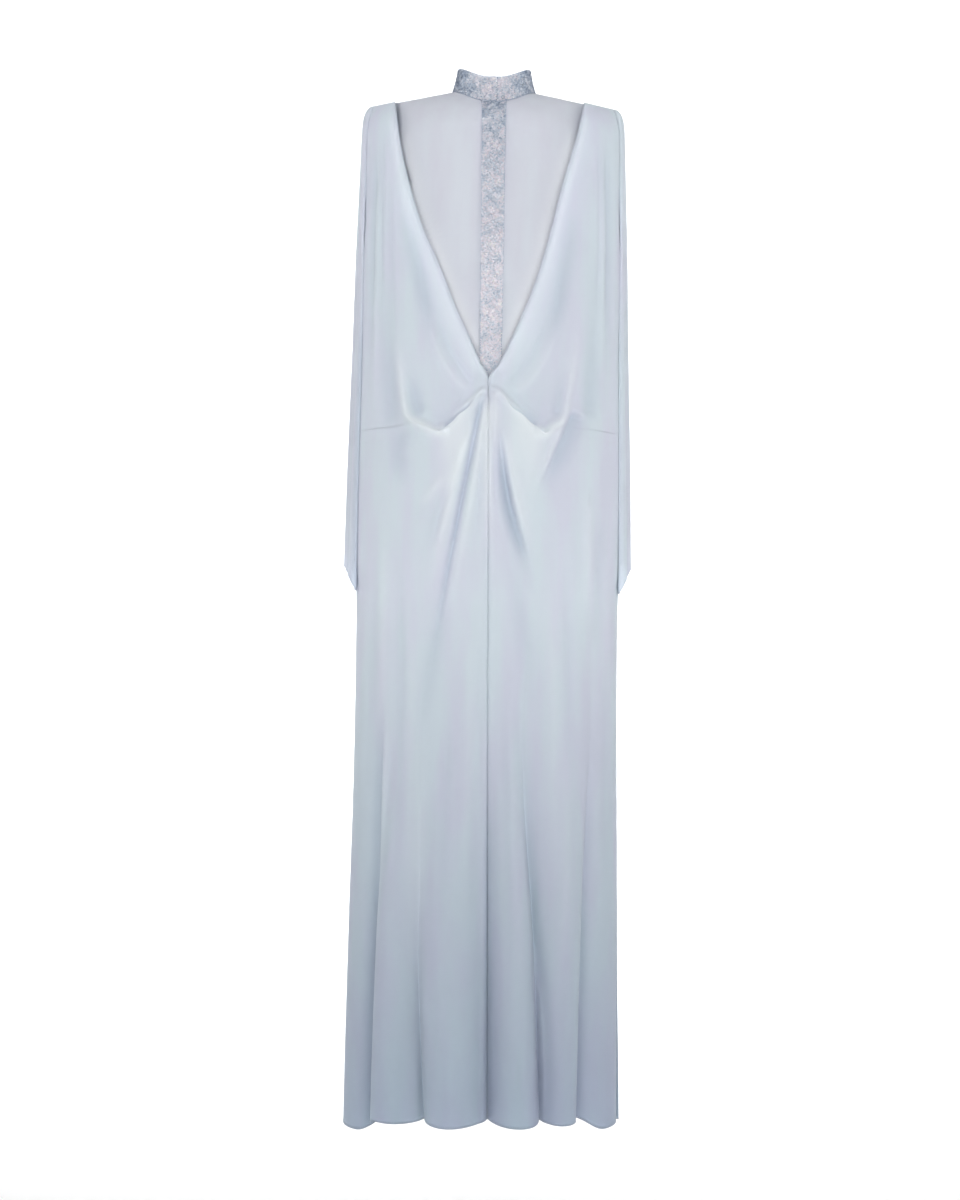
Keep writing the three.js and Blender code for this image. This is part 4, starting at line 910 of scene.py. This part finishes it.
# %% Sleeve sections and the three pieces
SLEEVE = table(
    "z outer front back ripple",
    (-18, 180, -1.5, 1.5, 0), (-22, 187, -16, 14, 0), (-29, 192, -23, 22, 0),
    (-41, 195.5, -29, 29, 0), (-60, 197, -34, 36, 0.3), (-120, 199, -36, 44, 0.6),
    (-180, 201, -37.5, 50, 0.8), (-235, 203, -38.5, 56, 1), (-380, 207, -41, 68, 1.3),
    (-540, 212, -45, 80, 1.7), (-745, 216, -49, 92, 1.8),
)
CUFF_OUTER, CUFF_INNER = -703, -744
SLEEVE_INSIDE = 2.2
TUCK_FRONT, TUCK_BACK, TUCK_UNDER, TUCK_REACH = 4.6, 10, 1.5, 0.2
TUCK_ABOVE = 1.5  # the tuck where the sleeve is still joined to the gown
SLEEVE_TOP, LEAVES_SIDE = -18, -150  # its first height, and where it starts to hang free
SLEEVE_ROUND, CUFF_ROUND, ROWS_CROWD = 0.6, (0.65, 0.6), 1.7  # powers of its curves and rows
FOLD_SHADE = {-1: 0.7, 1: 0.2}  # how much painted shade deepens the front fold's tone
OVER_GRID, UNDER_GRID = (170, 61), (90, 25)


def sleeve_inside(z):
    leaving = ease((z - LEAVES_SIDE) / (UNDERARM - LEAVES_SIDE))
    return mix(read(RIGHT_FRONT, "side", z) + 1, read(OUTER, "half", z) + SLEEVE_INSIDE, leaving)


def tuck(share, z, front, back):
    """How far the front and back folds lie over the gown's side; share runs from front to back."""
    hanging = ease((z - LEAVES_SIDE) / (UNDERARM - LEAVES_SIDE))
    at_front = mix(TUCK_ABOVE, front, hanging) * hump(share, TUCK_REACH)
    return at_front + mix(TUCK_ABOVE, back, hanging) * hump(1 - share, TUCK_REACH)


CUFFS = {}  # the front and back pieces' points, for the cuffs' edges


def sleeve_over(side):
    angle = np.linspace(-np.pi / 2, np.pi / 2, OVER_GRID[1])
    cosine = np.maximum(np.cos(angle), 0)
    r = np.linspace(0, 1, OVER_GRID[0])[:, None]
    inward = (1 - cosine ** CUFF_ROUND[0]) ** CUFF_ROUND[1]
    z = mix(SLEEVE_TOP, mix(CUFF_OUTER, CUFF_INNER, inward), r**ROWS_CROWD)
    ripple = read(SLEEVE, "ripple", z)
    wave = np.cos(5 * angle + 0.6) * cosine**2 - 0.6 * cosine
    slack = 0.5 * np.sin(17 * angle + 0.01 * z) * cosine * ease(-z / 200 - 0.2)
    full = (read(SLEEVE, "outer", z) - sleeve_inside(z)) * cosine**SLEEVE_ROUND
    share = (1 + np.sin(angle)) / 2
    x = sleeve_inside(z) + full + ripple * wave + slack - tuck(share, z, TUCK_FRONT, TUCK_BACK)
    y = mix(read(SLEEVE, "front", z), read(SLEEVE, "back", z), share)
    # painted light: highlight on the ripples' crests, shade in their troughs, and painted shade along
    # the front fold
    shaded = FOLD_SHADE[side] * hump(share, 0.03) * ease((-z - 300) / 120)
    return xyz(side * x, y, z), np.clip(wave * ripple / 5 + 0.4 * slack - shaded, -1, 1)


def sleeve_under(side):
    c, r = np.linspace(0, 1, UNDER_GRID[1]), np.linspace(0, 1, UNDER_GRID[0])[:, None]
    z = mix(UNDERARM - 1.0, float(CUFF_INNER), r) + 0 * c
    front, back = read(SLEEVE, "front", z) + 1.6, read(SLEEVE, "back", z) - 1.6
    inside = sleeve_inside(z) + 0.1 - tuck(c, z, TUCK_UNDER, TUCK_UNDER)
    return xyz(side * inside, mix(front, back, c), z)


for side, name in SIDES:
    points, fold = sleeve_over(side)
    middle = points.shape[1] // 2
    for piece, columns in (("front", slice(0, middle + 1)), ("back", slice(middle, None))):
        hang(f"sleeve_{name}_{piece}", "chiffon", points[:, columns], fold[:, columns])
    hang(f"sleeve_{name}_under", "chiffon", sleeve_under(side))
    CUFFS[name] = points

# %% [markdown]
# ## The collar and the band
# Both are a woven tape with sequins sewn on in close, overlapping rows. The collar stands up round
# the neck and opens a little to the wearer's left. The band lies on the bodice from the collar
# down to the point of the V. Their tape is laid like any other sheet, a little thicker.

# %% Tape of the collar and of the band
COLLAR_SIDE, COLLAR_FRONT, COLLAR_LIFT, SLIT_X = 33, 37, 0.8, 4
RIM_HALF, RIM_FRONT, RIM_BACK, RIM_LEAN = 53, 63, 43, -5
COLLAR_STAND, COLLAR_BOW, SLIT_GAP = 0.6, 0.8, 0.4
BAND_TOP_HALF, BAND_TIP_HALF = 17.5, 15.5


def collar_shell(grow, columns=181, rows=17):
    slit, half_gap = math.asin(SLIT_X / NECK_HALF), SLIT_GAP / NECK_HALF
    angle = np.linspace(slit + half_gap, slit + 2 * np.pi - half_gap, columns)
    ahead = np.cos(angle) > 0
    folded_angle = np.abs(np.arcsin(np.sin(angle)))
    foot = np.where(ahead, neckline("front", folded_angle)[2], neckline("back", folded_angle)[2])
    height = mix(COLLAR_SIDE, np.where(ahead, COLLAR_FRONT, COLLAR_SIDE), np.cos(angle) ** 2)

    def ring(half, front, back, lean, lift):
        deep = np.where(ahead, front, back) + grow
        return xyz((half + grow) * np.sin(angle), lean - np.cos(angle) * deep, foot + lift)

    base = ring(NECK_HALF, NECK_FRONT, NECK_BACK, 0, COLLAR_LIFT)
    rim = ring(RIM_HALF, RIM_FRONT, RIM_BACK, RIM_LEAN, height)
    up = np.linspace(1, 0, rows)[:, None, None]
    level = xyz(np.sin(angle), -np.cos(angle), 0 * angle)
    return mix(base, rim, up) - COLLAR_BOW * np.sin(np.pi * up) * level


def normals_of(points):
    return unit(np.cross(np.gradient(points, axis=0), np.gradient(points, axis=1)))


def band_shell(lift, across=9):
    right, left = BODICE[-1], BODICE[1]
    share = np.linspace(0, 1, len(right))
    half = mix(BAND_TOP_HALF, BAND_TIP_HALF, share)
    strip = []
    for r in range(len(right)):
        line = np.concatenate([right[r, ::-1], left[r]])
        xs = np.linspace(-half[r], half[r], across)
        strip.append(xyz(*(np.interp(xs, line[:, 0], line[:, k]) for k in range(3))))
    strip = np.array(strip)
    strip[0] = mix(strip[0], strip[1], 0.6)
    return strip + lift * normals_of(strip)


collar_points, band_points = collar_shell(COLLAR_STAND), band_shell(COLLAR_STAND + KINDS["tape"][2])
hang("collar", "tape", collar_points)
hang("front_band", "tape", band_points)

# %% [markdown]
# ## Sequins
# One sequin is a small disc with a dished middle, modelled once. It is then copied along the tape in
# staggered rows, each copy tipped so that it overlaps the one below, with a little unevenness from
# hand sewing. An eight-sided disc is enough at this size. The tips are seeded, so every run is alike.

# %% One sequin, and many copies of a small thing
SEQUIN_RADIUS, SEQUIN_DISH = 1.55, -0.35


def take_form():
    """The corners and faces of the primitive that was just added, which then goes."""
    made = bpy.context.object
    corners = np.array([v.co[:] for v in made.data.vertices])
    faces = np.array([list(p.vertices) for p in made.data.polygons])
    bpy.data.objects.remove(made)
    return corners, faces


def copy_form(name, form, places, axes, material, slot):
    """One mesh of many copies of a form, each at its place and turned to its own three axes."""
    corners, faces = form
    points = places[:, None] + sum(corners[None, :, k, None] * axes[k][:, None] for k in range(3))
    sides = faces[None] + len(corners) * np.arange(len(places))[:, None, None]
    mesh = bpy.data.meshes.new(name)
    mesh.from_pydata((points.reshape(-1, 3) * MM).tolist(), [], sides.reshape(-1, 3).tolist())
    made = bpy.data.objects.new(name, mesh)
    bpy.context.scene.collection.objects.link(made)
    hand_over(made, material, slot)
    print(name, len(places), "copies,", len(mesh.polygons), "triangles")
    return mesh


bpy.ops.object.select_all(action="DESELECT")
bpy.ops.mesh.primitive_circle_add(vertices=8, radius=SEQUIN_RADIUS, fill_type="TRIFAN")
sequin = disc, _ = take_form()
disc[np.hypot(disc[:, 0], disc[:, 1]) < 0.1, 2] = SEQUIN_DISH

# %% Sew rows of sequins on a tape
OVERLAP_TILT = math.radians(13)
SEQUIN_PITCH, SEQUIN_MARGIN, SEQUIN_LIFT = 2.2, 1.3, 0.75
ROW_PITCH, STAGGER = 0.8, 0.5  # as shares of the pitch
TIP_SPREAD = 0.13  # how unevenly they lie, in radians
DOWN_SPREAD, ACROSS_SPREAD, LIFT_SPREAD = 0.16, 0.12, 0.15
# the tint's middle and spread, its patches, and how far painted shade and reflection pull it to steel
# blue
TONE, TONE_SPREAD, TONE_PATCH, TONE_PAINTED_SHADE = 0.66, 0.14, 0.18, 0.38


def at_share(points, row, column):
    """Points between a grid's own, by fractions of its rows and columns."""
    r, c = row * (points.shape[0] - 1), column * (points.shape[1] - 1)
    r0, c0 = (np.minimum(v.astype(int), n - 2) for v, n in zip((r, c), points.shape))
    fr, fc = (r - r0)[:, None], (c - c0)[:, None]
    upper = mix(points[r0, c0], points[r0, c0 + 1], fc)
    return mix(upper, mix(points[r0 + 1, c0], points[r0 + 1, c0 + 1], fc), fr)


def evenly_spaced(points, rows):
    """The same tape with its rows an equal distance apart."""
    reached = run_of(gaps(points).mean(axis=1))
    at = np.interp(np.linspace(0, reached[-1], rows), reached, np.arange(len(points)))
    i = np.minimum(at.astype(int), len(points) - 2)
    return mix(points[i], points[i + 1], (at - i)[:, None, None])


def tipped(along, towards, angle):
    return along * np.cos(angle)[:, None] + towards * np.sin(angle)[:, None]


def sew_sequins(name, points, seed, sequin_shade):
    """The last argument is a function of the places: painted shade and reflection that make the
    sequins steel blue, from 0 to 1.
    """
    random = np.random.default_rng(seed)
    points = evenly_spaced(points, 2 * len(points))
    width, length = gaps(points, 1).sum(axis=1).mean(), gaps(points).sum(axis=0).mean()
    across, down = int(width / SEQUIN_PITCH), int(length / (ROW_PITCH * SEQUIN_PITCH))
    margin_x, margin_y = SEQUIN_MARGIN / width, SEQUIN_MARGIN / length
    rows, columns = np.meshgrid(
        np.linspace(margin_y, 1 - margin_y, down), np.linspace(0, 1, across), indexing="ij"
    )
    staggered = (np.arange(down)[:, None] % 2 - 0.5) * STAGGER / across
    columns = clamp(mix(margin_x, 1 - margin_x, columns) + staggered)
    rows = clamp(rows + random.normal(0, DOWN_SPREAD / down, rows.shape)).ravel()
    columns = clamp(columns + random.normal(0, ACROSS_SPREAD / across, columns.shape)).ravel()
    place = at_share(points, rows, columns)
    normal = unit(at_share(normals_of(points), rows, columns))
    side = unit(at_share(np.gradient(points, axis=1), rows, columns))
    up = np.cross(normal, side)
    count = len(place)
    lean_up = tipped(up, -normal, OVERLAP_TILT + random.normal(0, TIP_SPREAD, count))
    lean_side = tipped(side, normal, random.normal(0, TIP_SPREAD, count))
    face = unit(np.cross(lean_side, lean_up))
    face *= np.sign((face * normal).sum(axis=1, keepdims=True))
    lifted = place + normal * (SEQUIN_LIFT + random.uniform(0, LIFT_SPREAD, count))[:, None]
    mesh = copy_form(name, sequin, lifted, (lean_side, lean_up, face), sequin_film, "sequins")
    x, z = place[:, 0], place[:, 2]
    patch = TONE_PATCH * np.sin(z / 5.3 + np.sin(x / 4.1)) * np.sin(x / 6.7 + z / 17)
    tint = clamp(random.normal(TONE, TONE_SPREAD, count) + patch - TONE_PAINTED_SHADE * sequin_shade(x, z))
    tints = mesh.attributes.new("tint", "FLOAT", "POINT")
    tints.data.foreach_set("value", np.repeat(tint, len(disc)))


def collar_painted_shade(x, z):
    """Painted shade and reflection: the sides of the neck, which turn away, are deeper, and so is the
    slit.
    """
    return ease((np.abs(x) - 14) / 30) + 0.8 * hump(x - SLIT_X, 1.6)


def band_painted_shade(x, z):
    """Painted reflection and shade: the band is deeper at its top and in its tip."""
    top = 0.45 * ease((z + 90) / 60) + 0.2 * ease((z + 250) / 90)
    return top + 0.5 * ease((-z - 405) / 20)


sew_sequins("collar_sequins", collar_points, 11, collar_painted_shade)
sew_sequins("front_band_sequins", band_points, 12, band_painted_shade)

# %% [markdown]
# ## Edges and the collar's hook
# A chiffon edge is rolled to a cord about a millimetre thick and whipped down. The roll is a tube
# along the sheet's last row. The collar closes with a small wire hook where it meets the band.

# %% Rolled edges
CLOTH_ROLL, RIM_ROLL, TAPE_ROLL = 0.55, 0.7, 0.6  # radii
TUBE_SIDES = 6


def roll_edge(name, line, kind="chiffon", radius=CLOTH_ROLL):
    """A tube along a line of points in mm: a grid wrapped round it, and closed at its own seam."""
    ahead = unit(np.gradient(line, axis=0))
    spare = (0.13, 0.29, 0.95) if abs(ahead[len(line) // 2, 2]) < 0.8 else (0.96, 0.2, 0.1)
    first = unit(np.cross(ahead, spare))
    second = np.cross(ahead, first)
    turn = np.linspace(0, 2 * np.pi, TUBE_SIDES + 1)[:, None, None]
    made = new_grid(name, line[None] + radius * (np.cos(turn) * first + np.sin(turn) * second))
    bpy.ops.object.mode_set(mode="EDIT")
    bpy.ops.mesh.select_all(action="SELECT")
    bpy.ops.mesh.remove_doubles(threshold=0.01 * MM)
    bpy.ops.mesh.fill_holes(sides=TUBE_SIDES)
    bpy.ops.mesh.normals_make_consistent(inside=False)
    bpy.ops.object.mode_set(mode="OBJECT")
    bpy.ops.object.shade_smooth()
    made.data.attributes.new("fold", "FLOAT", "POINT")
    hand_over(made, *KINDS[kind][:2])


v_rows = STEPS_A_ROW * ROWS_ABOVE
for name, points in FRONTS.items():
    roll_edge(f"hem_roll_{name}", points[-1])
    roll_edge(f"v_edge_roll_{name}", points[3:v_rows:3, -1] + [0, 0.3, 0])
roll_edge("hem_roll_back", back_points[-1])
for name, points in CUFFS.items():
    roll_edge(f"cuff_roll_{name}", points[-1])
roll_edge("collar_rim_roll", collar_points[0], "tape", RIM_ROLL)
roll_edge("collar_foot_roll", collar_points[-1], "tape", TAPE_ROLL)
for column, name in ((0, "right"), (-1, "left")):
    roll_edge(f"band_edge_roll_{name}", band_points[:, column], "tape", TAPE_ROLL)
print("edges rolled:", 2 * len(FRONTS) + 1 + len(CUFFS) + 4)

# %% [markdown]
# ## Stitches
# Each roll is held by small hand stitches, 3.5 mm apart, just inside the edge. A stitch is a slim
# bead of thread, from the plainest ball of twenty faces, and is copied along the edge.

# %% Stitches along the edges
STITCH_PITCH, STITCH_HALF_LENGTH, STITCH_HALF_WIDTH, STITCH_STAND = 3.5, 0.9, 0.17, 0.12
STITCH_INSET = 0.3  # as a share of the way to the sheet's next line
bpy.ops.object.select_all(action="DESELECT")
bpy.ops.mesh.primitive_ico_sphere_add(subdivisions=1, radius=1)
stitch = take_form()


def sew_edge(name, line, inside):
    """Stitches along a line of points in mm, on a sheet whose next line inwards is given too."""
    line = mix(line, inside, STITCH_INSET)
    reached = run_of(gaps(line))
    at = np.arange(STITCH_PITCH, reached[-1] - STITCH_PITCH, STITCH_PITCH)
    along = lambda values: xyz(*(np.interp(at, reached, values[:, k]) for k in range(3)))
    place, ahead = along(line), unit(along(np.gradient(line, axis=0)))
    out = unit(np.cross(ahead, along(inside - line)))
    out *= np.sign((out[:, :2] * place[:, :2]).sum(axis=1, keepdims=True))
    across = np.cross(ahead, out)
    axes = STITCH_HALF_LENGTH * ahead, STITCH_HALF_WIDTH * across, STITCH_HALF_WIDTH * out
    copy_form(name, stitch, place + STITCH_STAND * out, axes, thread, "chiffon")


for name, points in FRONTS.items():
    sew_edge(f"hem_stitches_{name}", points[-1], points[-2])
    sew_edge(f"v_edge_stitches_{name}", points[7:v_rows, -4], points[7:v_rows, -5])
sew_edge("hem_stitches_back", back_points[-1], back_points[-2])
for name, points in CUFFS.items():
    sew_edge(f"cuff_stitches_{name}", points[-1, 2:-2], points[-2, 2:-2])

# %% The hook
HOOK_RING, HOOK_WIRE, HOOK_STAND, HOOK_STRETCH = 2.0, 0.4, 2.0, 1.35
hook_at = collar_points[-3, 4] + HOOK_STAND * normals_of(collar_points)[-3, 4]
bpy.ops.object.select_all(action="DESELECT")
bpy.ops.mesh.primitive_torus_add(
    location=tuple(hook_at * MM), rotation=(math.pi / 2, 0, 0), major_segments=20, minor_segments=8,
    major_radius=HOOK_RING * MM, minor_radius=HOOK_WIRE * MM,
)
hook = bpy.context.object
hook.name = hook.data.name = "collar_hook"
bpy.ops.object.mode_set(mode="EDIT")
bpy.ops.mesh.select_all(action="SELECT")
bpy.ops.transform.resize(value=(1, 1, HOOK_STRETCH))
bpy.ops.object.mode_set(mode="OBJECT")
bpy.ops.object.transform_apply(location=True, rotation=True, scale=True)
bpy.ops.object.shade_smooth()
hand_over(hook, plated_steel, "sequins")
print("hook at", [round(v) for v in hook_at])

# %% [markdown]
# ## Studio
# The gown hangs over a pale floor that sweeps up behind it, so there is no corner. A broad soft
# light in front, higher than the gown's middle, gives pale shoulders and a dimmer hem. A weaker one
# and two at the sides fill the folds, and two light only the paper. The paper is clear from its
# back, so that the gown can be seen past it.

# %% Floor and backdrop
FLOOR_Z = -1800
SWEEP_HALF, SWEEP_NEAR, SWEEP_FAR = 6000, -4500, 2200
SWEEP_BEND, SWEEP_WALL = 1500, 4000  # radius of the bend, and height of the wall above it
backdrop, shader = finish_called("matt_white_paper", roughness=0.95)
shader.inputs["Base Color"].default_value = linear("#fbfbfb")
behind = node(backdrop, "ShaderNodeNewGeometry").outputs["Backfacing"]
clear = node(backdrop, "ShaderNodeBsdfTransparent").outputs["BSDF"]
sides = {0: behind, 1: shader.outputs["BSDF"], 2: clear}
one_way = node(backdrop, "ShaderNodeMixShader", links=sides)
feed(backdrop, backdrop.node_tree.nodes["Material Output"], Surface=one_way.outputs["Shader"])
across, along = np.meshgrid(np.linspace(-SWEEP_HALF, SWEEP_HALF, 9), np.linspace(0, 1, 41))
flat, rise = clamp(along / 0.5), clamp((along - 0.5) / 0.5)
depth = mix(SWEEP_NEAR, SWEEP_FAR, flat) + SWEEP_BEND * np.sin(rise * np.pi / 2)
bent = SWEEP_BEND * (1 - np.cos(clamp(rise * 2) * np.pi / 2))
height = FLOOR_Z + bent + SWEEP_WALL * clamp(rise * 2 - 1)
sweep = new_grid("studio_sweep", xyz(across, depth, height))
bpy.ops.object.shade_smooth()
sweep.data.materials.append(backdrop)

# %% Lights
KEY_POWER, FILL_POWER, SIDE_POWER, SWEEP_POWER, SURROUND = 22, 9.7, 7.7, 44, 0.45
ON_GOWN = (0, 0, -0.55)
LIGHTS = (
    ("key_light", (-0.35, -2.7, -0.25), ON_GOWN, 2.2, KEY_POWER),
    ("fill_light", (1.6, -2.6, -0.6), ON_GOWN, 2.0, FILL_POWER),
    ("side_light_right", (-2.4, -0.6, -0.1), ON_GOWN, 1.8, SIDE_POWER),
    ("side_light_left", (2.4, -0.6, -0.1), ON_GOWN, 1.8, SIDE_POWER),
    ("sweep_light_right", (-1.5, 0.9, 1.9), (-1.1, 3.0, -0.8), 2.4, SWEEP_POWER),
    ("sweep_light_left", (1.5, 0.9, 1.9), (1.1, 3.0, -0.8), 2.4, SWEEP_POWER),
)
SWEEP_SPREAD = 100  # degrees, so that those two stay off the gown
for name, place, aim, size, power in LIGHTS:
    towards = np.array(aim) - np.array(place)
    pitch = math.acos(-towards[2] / np.linalg.norm(towards))
    yaw = math.atan2(-towards[0], towards[1])
    bpy.ops.object.light_add(type="AREA", location=place, rotation=(pitch, 0, yaw))
    lamp = bpy.context.object
    lamp.name = name
    lamp.data.size, lamp.data.energy = size, power
    lamp.data.spread = math.radians(SWEEP_SPREAD if name.startswith("sweep") else 180)
world = bpy.data.worlds.new("white_surround")
world.use_nodes = True
world.node_tree.nodes["Background"].inputs["Color"].default_value = (1, 1, 1, 1)
world.node_tree.nodes["Background"].inputs["Strength"].default_value = SURROUND
bpy.context.scene.world = world
bpy.context.scene.view_settings.view_transform = "Standard"
print("lights:", [light[0] for light in LIGHTS])
